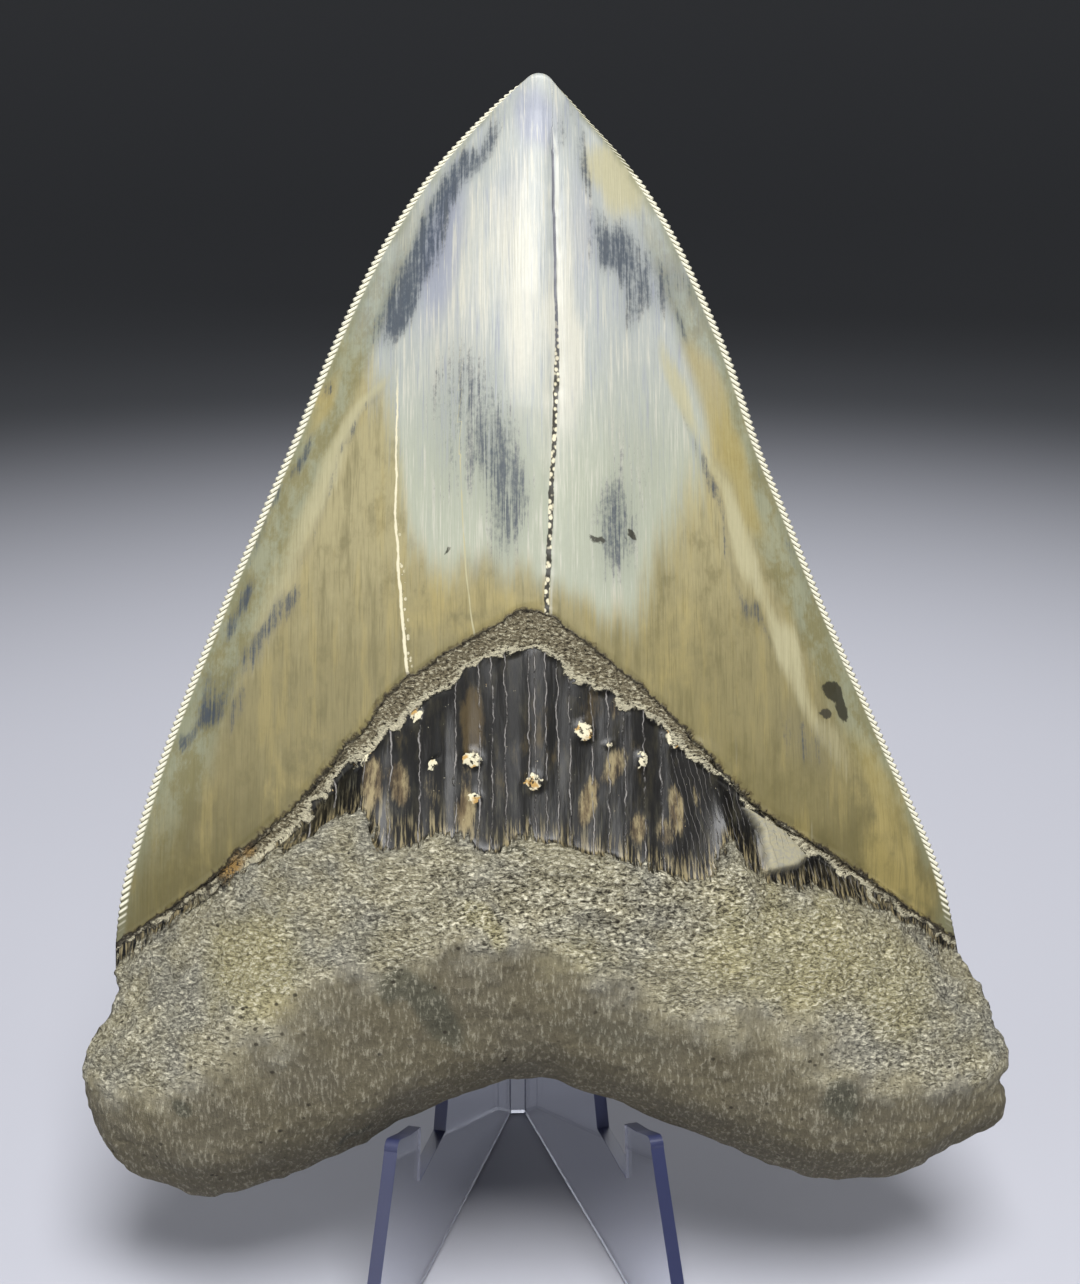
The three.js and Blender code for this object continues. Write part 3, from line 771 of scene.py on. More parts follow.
def covered(x, t, strokes, outer, inner):
    """How much the strokes cover each place; each fades between two shares of its own size."""
    clear = np.ones(len(x))
    for middle_x, middle_t, half_width, half_height, lean, strength in strokes:
        angle = math.radians(lean)
        dx = x - middle_x
        dt = t - middle_t
        across = dx * math.cos(angle) - dt * math.sin(angle)
        along = dx * math.sin(angle) + dt * math.cos(angle)
        reach = np.hypot(across / half_width, along / half_height)
        clear *= 1 - strength * smoothstep(outer, inner, reach)
    return 1 - clear


def mirrored_on_back(tooth, x, t):
    """Places on the back take the colours of the display face, turned over and a little lower."""
    is_face = tooth["is_face"]
    return np.where(is_face, x, BACK_MIRROR - x), np.where(is_face, t, t + BACK_SHIFT)


def stroke_amount(tooth, strokes):
    """Soft frayed strokes, on both faces."""
    place = tooth["place"]
    x = place[:, 0] + 1.1 * lumps(place, (5, 9, 9), 51) + 0.5 * lumps(place, (1.6, 6, 5), 52)
    t = place[:, 1] + 2.4 * lumps(place, (2.4, 9, 9), 53)
    return covered(*mirrored_on_back(tooth, x, t), strokes, 1.45, 0.35)


def small_spots(tooth, strokes):
    """Small clear-cut marks, on the display face only."""
    x, t, _ = tooth["place"].T
    return covered(x, t, strokes, 1.5, 0.5) * tooth["is_face"]


def tan_amount(tooth):
    """From 0 in the pale top of the enamel to 1 in its tan lower part, on both faces."""
    place = tooth["place"]
    x, t = mirrored_on_back(tooth, place[:, 0], place[:, 1])
    t = t + 1.6 * lumps(place, (1.4, 9, 9), 54) + 2 * lumps(place, (6, 12, 9), 55)
    top = table_value(TAN_TOP, x)
    soft = table_value(TAN_SOFTNESS, x)
    return smoothstep(1, -1, (t - top) / soft)


def flank_amount(tooth):
    """1 on the thin flanks outside the crown's two folds, fading out towards the tip."""
    up = tooth["up"]
    left, right = (low + (high - low) * up for low, high in (FOLD_LEFT, FOLD_RIGHT))
    side = tooth["side"] + 0.02 * lumps(tooth["place"], (4, 8, 8), 56)
    outside = smoothstep(0.03, -0.08, side - left) + smoothstep(-0.03, 0.08, side - right)
    return outside * (tooth["zone"] == CROWN) * smoothstep(0.92, 0.6, up)


def smooth_root_amount(tooth):
    """1 on the smoother lower part of the root, which reaches higher in the middle than on the lobes."""
    place = tooth["place"]
    top = SMOOTH_ROOT_MIDDLE + (SMOOTH_ROOT_LOBES - SMOOTH_ROOT_MIDDLE) * np.abs(tooth["side"]) ** 1.3
    above = tooth["up"] - top + 0.08 * lumps(place, 9, 57) + 0.05 * lumps(place, 3, 58)
    return smoothstep(0.18, -0.18, above) * (tooth["zone"] == ROOT)


def tooth_matrix():
    """From the tooth's frame (x, t, w) in millimetres to the row frame in metres."""
    turn = Euler((-TOOTH_LEAN, 0, 0)).to_matrix() @ Euler((0, TOOTH_ROLL, 0)).to_matrix()
    swap = Matrix(((1, 0, 0), (0, 0, -1), (0, 1, 0)))
    return Matrix.Translation(Vector(TOOTH_PLACE) * MM) @ (turn @ swap * MM).to_4x4()


def linked(name, data):
    """A new object in the scene with this data."""
    made = bpy.data.objects.new(name, data)
    bpy.context.scene.collection.objects.link(made)
    return made


def mesh_object(name, vertices, triangles):
    data = bpy.data.meshes.new(name)
    data.vertices.add(len(vertices))
    data.vertices.foreach_set("co", np.asarray(vertices, np.float32).ravel())
    data.loops.add(len(triangles) * 3)
    data.loops.foreach_set("vertex_index", np.asarray(triangles, np.int32).ravel())
    data.polygons.add(len(triangles))
    data.polygons.foreach_set("loop_start", np.arange(0, len(triangles) * 3, 3, dtype=np.int32))
    data.update(calc_edges=True)
    data.validate()
    data.shade_smooth()
    return linked(name, data)


def store(piece, name, values):
    attribute = piece.data.attributes.new(name, "FLOAT_VECTOR", "POINT")
    attribute.data.foreach_set("vector", np.asarray(values, np.float32).ravel())


def make_tooth():
    tooth = grow_tooth()
    tooth["distances"] = zone_distances(tooth)
    tooth["cracks"] = crack_distances(tooth)
    drawn = tooth["place"].copy()
    shape_serrations(tooth)
    raise_relief(tooth)

    to_row = np.array(tooth_matrix())
    vertices = tooth["place"] @ to_row[:3, :3].T + to_row[:3, 3]
    piece = mesh_object("tooth_surface", vertices, tooth["triangles"])
    store(piece, "flat", drawn)
    store(piece, "distances", tooth["distances"])
    store(piece, "cracks", tooth["cracks"])
    slate_and_fold_shade, cream_and_fold_highlight, white_and_sheen, lavender, yellow = (
        stroke_amount(tooth, strokes)
        for strokes in (SLATE_AND_FOLD_SHADE_STROKES, CREAM_AND_FOLD_HIGHLIGHT_STROKES, WHITE_AND_SHEEN_STROKES, LAVENDER_STROKES, YELLOW_STROKES)
    )
    # Slate with painted shade beside the folds, cream with painted highlights on them, and tan
    store(piece, "pigments_and_fold_light", np.stack([slate_and_fold_shade, cream_and_fold_highlight, tan_amount(tooth)], -1))
    store(piece, "tints", np.stack([flank_amount(tooth), yellow, lavender], -1))
    rim = row_widths(tooth["zone"], tooth["up"]) * np.minimum(tooth["across"], 1 - tooth["across"])
    rim = np.where(tooth["zone"] == CROWN, np.clip(rim, 0, FAR), FAR)
    spots = small_spots(tooth, SPOT_STROKES)
    # The marks: white along the middle crack, partly a painted sheen; brown spots; and where the root's
    # painted shade and highlight are strongest
    store(piece, "marks", np.stack([white_and_sheen, spots, stroke_amount(tooth, ROOT_PAINTED_LIGHT_STROKES)], -1))
    store(piece, "edge", np.stack([rim, tooth["serration"], np.where(tooth["is_face"], 1.0, 0.0)], -1))
    tears, browns, ochre = (
        small_spots(tooth, strokes) for strokes in (TEAR_STROKES, BROWN_STROKES, OCHRE_STROKES)
    )
    store(piece, "dark_marks", np.stack([tears, tooth["stuck"], browns], -1))
    store(piece, "band_marks", np.stack([ochre, smooth_root_amount(tooth), tooth["chip"]], -1))
    dark_patch = stroke_amount(tooth, ROOT_DARK_STROKES)
    yellow_patch = stroke_amount(tooth, ROOT_YELLOW_STROKES)
    store(piece, "root_tints", np.stack([dark_patch, yellow_patch, tooth["grain"]], -1))
    return piece


# Materials


def srgb(red, green, blue):
    """A colour given as 0 to 255 on screen, as Blender's linear values."""
    linear = []
    for value in (red, green, blue):
        v = value / 255
        linear.append(v / 12.92 if v <= 0.04045 else ((v + 0.055) / 1.055) ** 2.4)
    return (*linear, 1)


class Nodes:
    """Builds one material from short calls."""

    def __init__(self, name):
        self.material = bpy.data.materials.new(name)
        self.material.use_nodes = True
        self.tree = self.material.node_tree
        self.tree.nodes.clear()

    def node(self, kind, inputs, **settings):
        made = self.tree.nodes.new(kind)
        for key, value in settings.items():
            setattr(made, key, value)
        for key, value in inputs.items():
            if isinstance(value, bpy.types.NodeSocket):
                self.tree.links.new(value, made.inputs[key])
            else:
                made.inputs[key].default_value = value
        return made

    def math(self, operation, a, b=0.0, c=0.0):
        return self.node("ShaderNodeMath", {0: a, 1: b, 2: c}, operation=operation).outputs[0]

    def add(self, a, b):
        return self.math("ADD", a, b)

    def times(self, a, b):
        return self.math("MULTIPLY", a, b)

    def product(self, *factors):
        result = factors[0]
        for factor in factors[1:]:
            result = self.times(result, factor)
        return result

    def step(self, value, low, high):
        """Rises smoothly from 0 at low to 1 at high; low may be the larger."""
        if low > high:
            return self.math("SUBTRACT", 1.0, self.step(value, high, low))
        inputs = {"Value": value, "From Min": low, "From Max": high}
        made = self.node("ShaderNodeMapRange", inputs, interpolation_type="SMOOTHSTEP")
        return made.outputs["Result"]

    def bump_line(self, distance, half_width):
        """1 on a line, fading to 0 at half_width from it."""
        return self.step(self.math("ABSOLUTE", distance), half_width, 0.0)

    def parts(self, name):
        vector = self.node("ShaderNodeAttribute", {}, attribute_name=name).outputs["Vector"]
        split = self.node("ShaderNodeSeparateXYZ", {0: vector})
        return split.outputs[0], split.outputs[1], split.outputs[2]

    def place(self, sizes):
        """Position on the tooth in millimetres, divided by a size in each direction."""
        vector = self.node("ShaderNodeAttribute", {}, attribute_name="flat").outputs["Vector"]
        scale = tuple(1 / size for size in sizes)
        return self.node("ShaderNodeVectorMath", {0: vector, 1: scale}, operation="MULTIPLY").outputs[0]

    def noise(self, sizes, detail=2.0, roughness=0.55, distortion=0.0):
        inputs = {
            "Vector": self.place(sizes),
            "Scale": 1.0,
            "Detail": detail,
            "Roughness": roughness,
            "Distortion": distortion,
        }
        return self.node("ShaderNodeTexNoise", inputs).outputs["Fac"]

    def cells(self, sizes):
        inputs = {"Vector": self.place(sizes), "Scale": 1.0, "Randomness": 1.0}
        return self.node("ShaderNodeTexVoronoi", inputs, feature="F1").outputs["Distance"]

    def mix(self, factor, a, b, blend="MIX"):
        inputs = {0: factor, 6: a, 7: b}
        return self.node("ShaderNodeMix", inputs, data_type="RGBA", blend_type=blend).outputs[2]

    def blend(self, factor, a, b):
        """A plain number between a and b."""
        made = self.node("ShaderNodeMix", {0: factor, 2: a, 3: b}, data_type="FLOAT")
        return made.outputs[0]


LAVENDER = srgb(142, 146, 162)
PALE_GREY = srgb(166, 170, 166)
MIST = srgb(166, 170, 152)
# White of the enamel, also used for its painted sheen and highlights
WHITE_ENAMEL_AND_SHEEN = srgb(194, 192, 178)
# Slate, also used for the painted shade beside the folds
SLATE_AND_FOLD_SHADE = srgb(52, 62, 76)
# Cream, also used for the painted highlights along the folds
CREAM_AND_FOLD_HIGHLIGHT = srgb(176, 170, 136)
TAN_LIGHT = srgb(160, 151, 113)
TAN = srgb(132, 123, 86)
TAN_DEEP = srgb(104, 96, 60)
TAN_YELLOW = srgb(166, 150, 94)
OLIVE = srgb(100, 94, 62)
FLANK_OLIVE = srgb(124, 120, 86)
FLANK_MIST = srgb(140, 144, 122)
MARGIN_OLIVE = srgb(122, 124, 98)
SPOT_BROWN = srgb(44, 42, 32)
SERRATION_CREAM = srgb(238, 234, 212)
SERRATION_GAP = srgb(112, 110, 84)
CRACK_DARK = srgb(52, 50, 42)
CRUMB_PALE = srgb(222, 214, 184)
CRUMB_MIDDLE = srgb(134, 124, 98)
# Dark of the crumbs, also used for the painted shadow under the enamel's edge
CRUMB_DARK_AND_SHADOW = srgb(38, 31, 22)
# Brown of the painted shadow along the enamel's lower edge
PAINTED_EDGE_SHADOW = srgb(70, 58, 38)
BAND_BLACK = srgb(13, 12, 11)
BAND_OLIVE = srgb(44, 41, 30)
BAND_GREY = srgb(84, 82, 68)
BAND_BROWN = srgb(78, 64, 36)
TEAR_TAN = srgb(106, 90, 66)
TEAR_PALE = srgb(158, 144, 108)
BAND_LINE = srgb(150, 146, 142)
# Painted highlight on the tops of the root's grain
ROOT_PAINTED_HIGHLIGHT = srgb(246, 240, 214)
ROOT_BEIGE = srgb(170, 163, 135)
ROOT_GREYER = srgb(155, 152, 137)
# Brown of the lower root, partly its own colour and partly painted shade
ROOT_BROWN_AND_SHADE = srgb(90, 83, 65)
# Painted shade in the root's hollows and pits
ROOT_PAINTED_SHADE = srgb(42, 36, 26)
ROOT_YELLOW = srgb(192, 182, 130)
ROOT_GREY = srgb(74, 74, 62)
ORANGE_CRUMB = srgb(188, 152, 92)

# Gloss of the tooth; the enamel's is a lowest value and how much it varies
TOOTH_SPECULAR = 0.38
BONE_ROUGHNESS = 0.9
DARK_BAND_ROUGHNESS = 0.36
ENAMEL_ROUGHNESS = (0.28, 0.2)
SERRATION_ROUGHNESS = 0.5
CHIP_ROUGHNESS = 0.8
# Fine relief in the material, in millimetres; the root's on its rough part and on its smooth one
ROOT_GRAIN_HEIGHTS = (1.25, 0.6)
CRUMB_GRAIN_HEIGHT = 1.2
DARK_LINE_HEIGHT = 0.2
DARK_RIB_HEIGHT = 0.06
ENAMEL_STREAK_HEIGHT = 0.05

# Upright pale cracks in the dark band, by x
DARK_CRACKS = (
    -26.8, -23.6, -19.9, -16.4, -12.7, -8.1, -5.2, -3.6, -1.9, 1.1, 1.9, 3.3, 4.8, 6.3, 9.2, 11.2, 13.2,
    15.7, 18,
)


def centred(m, value, width):
    """A noise value moved to swing width / 2 to either side of 0."""
    return m.times(m.math("SUBTRACT", value, 0.5), width)


def enamel_colour(m):
    slate_and_fold_shade, cream_and_fold_highlight, tan = m.parts("pigments_and_fold_light")
    white_and_sheen, spots, _ = m.parts("marks")
    flank, yellow, lavender = m.parts("tints")
    rim, serration, _ = m.parts("edge")
    x, t, _ = m.parts("flat")
    streaks = m.noise((0.65, 17, 8), detail=4, roughness=0.62)
    fine = m.noise((0.2, 5.5, 4), detail=3, roughness=0.6)
    mottle = m.noise((3.2, 5, 5), detail=5, roughness=0.65)
    speckle = m.noise((0.55, 0.9, 0.7), detail=3, roughness=0.7)
    sway = m.add(centred(m, streaks, 1.5), centred(m, fine, 1.1))

    def streaked(amount, low, high, share):
        return m.step(m.add(amount, m.times(sway, share)), low, high)

    # The pale top, with white and lavender streaks
    pale = m.mix(m.step(t, 18.0, 44.0), MIST, PALE_GREY)
    pale = m.mix(m.times(streaked(lavender, 0.2, 1.0, 0.9), 0.8), pale, LAVENDER)
    pale = m.mix(m.times(m.step(sway, 0.0, 0.32), 0.75), pale, WHITE_ENAMEL_AND_SHEEN)
    pale = m.mix(m.product(m.step(sway, -0.06, -0.4), m.step(t, 8.0, 40.0), 0.6), pale, LAVENDER)

    # The tan lower part, deeper towards its foot
    tans = m.mix(m.step(m.add(t, centred(m, mottle, 26.0)), 20.0, -6.0), TAN_LIGHT, TAN)
    tans = m.mix(m.step(m.add(t, centred(m, mottle, 22.0)), -6.0, -34.0), tans, TAN_DEEP)
    yellowed = m.step(m.add(yellow, centred(m, mottle, 1.4)), 0.15, 0.9)
    tans = m.mix(m.times(yellowed, 0.6), tans, TAN_YELLOW)
    smudge = m.step(m.add(mottle, m.times(sway, -0.12)), 0.47, 0.3)
    tans = m.mix(m.times(smudge, 0.35), tans, OLIVE)
    broad = m.noise((1.9, 15, 8), detail=4, roughness=0.6)
    tans = m.mix(m.times(m.step(broad, 0.5, 0.68), 0.3), tans, TAN_YELLOW)
    tans = m.mix(m.times(m.step(broad, 0.47, 0.32), 0.45), tans, OLIVE)
    tans = m.mix(m.times(m.step(fine, 0.5, 0.3), 0.35), tans, OLIVE)

    colour = m.mix(streaked(tan, 0.1, 0.9, 0.45), pale, tans)
    flanks = m.mix(m.step(m.add(mottle, centred(m, speckle, 0.4)), 0.38, 0.62), FLANK_OLIVE, FLANK_MIST)
    flanks = m.mix(m.times(m.step(yellow, 0.1, 0.8), 0.85), flanks, TAN_YELLOW)
    colour = m.mix(m.product(flank, 0.75, m.step(t, -36.0, -12.0)), colour, flanks)
    # Cream patches, with painted highlights along the folds' ridges
    colour = m.mix(m.times(streaked(cream_and_fold_highlight, 0.15, 1.0, 0.4), 0.85), colour, CREAM_AND_FOLD_HIGHLIGHT)
    # White along the middle crack: partly the enamel's own colour, partly a painted sheen
    colour = m.mix(m.times(streaked(white_and_sheen, 0.15, 1.05, 0.65), 0.95), colour, WHITE_ENAMEL_AND_SHEEN)
    # Slate patches, with painted shade in thin lines beside the folds
    frayed_slate_and_shade = m.add(m.add(slate_and_fold_shade, m.times(sway, 1.3)), centred(m, speckle, 1.1))
    colour = m.mix(m.times(slate_and_fold_shade, 0.25), colour, SLATE_AND_FOLD_SHADE)
    slate_and_shade_share = m.times(m.step(frayed_slate_and_shade, 0.34, 1.15), m.step(slate_and_fold_shade, 0.03, 0.3))
    colour = m.mix(m.times(slate_and_shade_share, 0.86), colour, SLATE_AND_FOLD_SHADE)
    on_spots = m.step(m.add(spots, centred(m, speckle, 0.8)), 0.35, 0.6)
    colour = m.mix(m.times(on_spots, 0.9), colour, SPOT_BROWN)
    margin = m.times(m.step(rim, 3.6, 1.1), m.step(m.noise((2, 5, 5)), 0.3, 0.6))
    colour = m.mix(m.times(margin, 0.55), colour, MARGIN_OLIVE)
    low_corner = m.product(m.step(t, -22.0, -38.0), m.step(mottle, 0.3, 0.6), m.step(x, 10.0, -10.0))
    colour = m.mix(m.times(low_corner, 0.6), colour, OLIVE)
    shade = m.add(0.87, m.times(m.add(fine, speckle), 0.13))
    shades = m.node("ShaderNodeCombineColor", {0: shade, 1: shade, 2: shade}).outputs[0]
    colour = m.mix(1.0, colour, shades, "MULTIPLY")

    # The cutting edge: cream serrations with narrow gaps between them
    at_edge = m.step(rim, 1.35, 0.85)
    bead = m.mix(m.step(serration, 0.08, 0.4), SERRATION_GAP, SERRATION_CREAM)
    return m.mix(at_edge, colour, bead)


def cracked(m, colour, enamel):
    """Lays the crown's cracks over the enamel's colour."""
    middle, left, faint = m.parts("cracks")
    crumbs = m.cells((0.62, 0.7, 0.6))
    _, t, _ = m.parts("flat")
    low_down = m.step(t, 46.0, 32.0)
    filling = m.mix(m.step(crumbs, 0.55, 0.3), CRACK_DARK, CRUMB_PALE)
    open_crack = m.mix(low_down, m.mix(0.35, CRACK_DARK, LAVENDER), filling)
    frayed = m.times(m.math("SUBTRACT", m.noise((0.5, 1.2, 1)), 0.5), 0.4)
    on_middle = m.times(m.bump_line(m.add(middle, frayed), 0.5), enamel)
    narrow = m.times(m.bump_line(middle, 0.3), enamel)
    on_middle = m.blend(low_down, narrow, on_middle)
    # A pale line on the middle crack's right side: partly the enamel's colour, partly a painted highlight
    crack_side_pale_and_highlight = m.product(m.bump_line(m.add(middle, -0.55), 0.3), enamel, 0.45)
    colour = m.mix(crack_side_pale_and_highlight, colour, WHITE_ENAMEL_AND_SHEEN)
    colour = m.mix(m.step(on_middle, 0.15, 0.5), colour, open_crack)
    left_width = m.add(0.2, m.times(m.step(t, 34.0, -4.0), 0.12))
    from_left = m.math("DIVIDE", m.add(left, m.times(frayed, 0.7)), left_width)
    on_left = m.product(m.bump_line(from_left, 1.1), enamel)
    colour = m.mix(m.times(m.step(on_left, 0.2, 0.7), m.step(t, 37.0, 30.0)), colour, CRUMB_PALE)
    beside_left = m.product(m.bump_line(m.add(left, -0.45), 0.5), m.step(t, 16.0, 12.0))
    crumb_side = m.product(beside_left, m.step(crumbs, 0.42, 0.3), enamel)
    side_crumbs = m.mix(m.step(crumbs, 0.36, 0.3), SPOT_BROWN, CRUMB_PALE)
    colour = m.mix(m.times(crumb_side, 0.7), colour, side_crumbs)
    on_faint = m.product(m.bump_line(faint, 0.2), m.noise((2, 3, 2)), enamel)
    return m.mix(m.step(on_faint, 0.1, 0.5), colour, CREAM_AND_FOLD_HIGHLIGHT)


def dark_band_colour(m):
    """Colour of the dark band, how dull each place is, and how much of it is a pale line."""
    tears, stuck, browns = m.parts("dark_marks")
    x, t, _ = m.parts("flat")
    _, _, above_root = m.parts("distances")
    broad_wander = centred(m, m.noise((6, 3.5, 9), detail=3), 1.2)
    wander = m.add(broad_wander, centred(m, m.noise((1.5, 1.3, 3)), 0.4))
    swayed = m.add(x, wander)
    nearest = None
    for crack in DARK_CRACKS:
        distance = m.math("ABSOLUTE", m.math("SUBTRACT", swayed, crack))
        nearest = distance if nearest is None else m.math("MINIMUM", nearest, distance)
    fanned = m.add(m.times(swayed, 1.35), m.times(t, 0.32))
    right_hand = m.math("ABSOLUTE", m.math("SUBTRACT", m.math("FRACT", fanned), 0.5))
    at_right = m.step(x, 18.6, 20.0)
    width = m.add(-0.02, m.times(m.noise((0.9, 2.2, 2), detail=3), 0.22))
    width = m.math("MAXIMUM", width, 0.02)
    lines = m.step(m.math("DIVIDE", nearest, width), 1.5, 0.5)
    lines = m.math("MAXIMUM", lines, m.product(m.step(right_hand, 0.1, 0.03), at_right, 0.4))
    broken = m.step(m.noise((2.2, 4, 3), detail=4, roughness=0.7), 0.4, 0.58)
    lines = m.times(lines, broken)

    low_down = m.step(m.add(above_root, centred(m, m.noise((4, 5, 5), detail=2), 6.0)), 9.0, 1.0)
    smoky = m.noise((1.2, 4.5, 3), detail=5, roughness=0.7)
    threads = m.noise((0.32, 4.5, 3), detail=4, roughness=0.68)
    colour = m.mix(m.step(smoky, 0.46, 0.72), BAND_BLACK, BAND_OLIVE)
    browned = m.step(m.add(browns, centred(m, smoky, 2.0)), 0.4, 1.1)
    colour = m.mix(m.times(browned, 0.8), colour, BAND_BROWN)
    grey_threads = m.product(m.step(threads, 0.5, 0.72), m.add(0.05, m.times(low_down, 0.85)))
    colour = m.mix(grey_threads, colour, BAND_GREY)
    tear_colour = m.mix(m.step(smoky, 0.4, 0.62), TEAR_TAN, TEAR_PALE)
    ragged_tears = m.add(tears, m.add(centred(m, smoky, 1.6), centred(m, threads, 1.2)))
    on_tears = m.product(m.step(ragged_tears, 0.3, 0.95), m.step(tears, 0.05, 0.4), 0.85)
    colour = m.mix(on_tears, colour, tear_colour)
    roots = m.product(m.step(threads, 0.46, 0.62), m.step(above_root, 3.2, 0.2), 0.8)
    colour = m.mix(roots, colour, TEAR_PALE)
    colour = m.mix(m.times(lines, 0.88), colour, BAND_LINE)
    grains = m.noise((0.5, 0.5, 0.5), detail=2)
    crumbs = m.step(m.add(stuck, centred(m, grains, 1.6)), 0.35, 0.6)
    crumb_colour = m.mix(m.step(m.noise((1.4, 1.4, 1.4)), 0.36, 0.5), ORANGE_CRUMB, CRUMB_PALE)
    crumb_colour = m.mix(m.step(grains, 0.5, 0.36), crumb_colour, CRUMB_DARK_AND_SHADOW)
    dull = m.math("MAXIMUM", lines, m.math("MAXIMUM", crumbs, tears))
    return m.mix(crumbs, colour, crumb_colour), dull, lines


def root_colour(m, grain, lower):
    dark_patch, yellow_patch, relief = m.parts("root_tints")
    # Where the root's painted shade and highlight are strongest
    _, _, painted_light_strength = m.parts("marks")
    blotch = m.noise((9, 8, 8), detail=4, roughness=0.6)
    colour = m.mix(m.step(blotch, 0.38, 0.62), ROOT_GREYER, ROOT_BEIGE)
    colour = m.mix(m.times(m.step(yellow_patch, 0.2, 0.9), 0.55), colour, ROOT_YELLOW)
    # The smoother lower root turns darker and browner: partly its own colour, partly painted shade
    colour = m.mix(m.times(lower, 0.9), colour, ROOT_BROWN_AND_SHADE)
    darkened = m.step(m.add(dark_patch, centred(m, grain, 1.0)), 0.2, 0.9)
    colour = m.mix(m.times(darkened, 0.8), colour, ROOT_GREY)
    height = m.add(grain, m.times(relief, 0.035))
    # Painted light on the root's grain: shade in its hollows and a highlight on its tops, weaker on the
    # smoother lower root
    painted_light_contrast = m.blend(lower, m.add(0.7, m.times(painted_light_strength, 0.35)), 0.22)
    painted_crevice_shade = m.times(m.step(height, 0.5, 0.36), painted_light_contrast)
    top = m.times(m.step(height, 0.5, 0.64), painted_light_contrast)
    colour = m.mix(m.times(painted_crevice_shade, 0.9), colour, ROOT_PAINTED_SHADE)
    colour = m.mix(m.times(top, 0.9), colour, ROOT_PAINTED_HIGHLIGHT)
    # Painted shade in small pits of the root
    painted_pit_shade = m.times(m.step(m.cells((1.9, 1.5, 1.7)), 0.2, 0.1), m.step(m.noise((5, 5, 5)), 0.5, 0.6))
    return m.mix(m.times(painted_pit_shade, 0.8), colour, ROOT_PAINTED_SHADE)


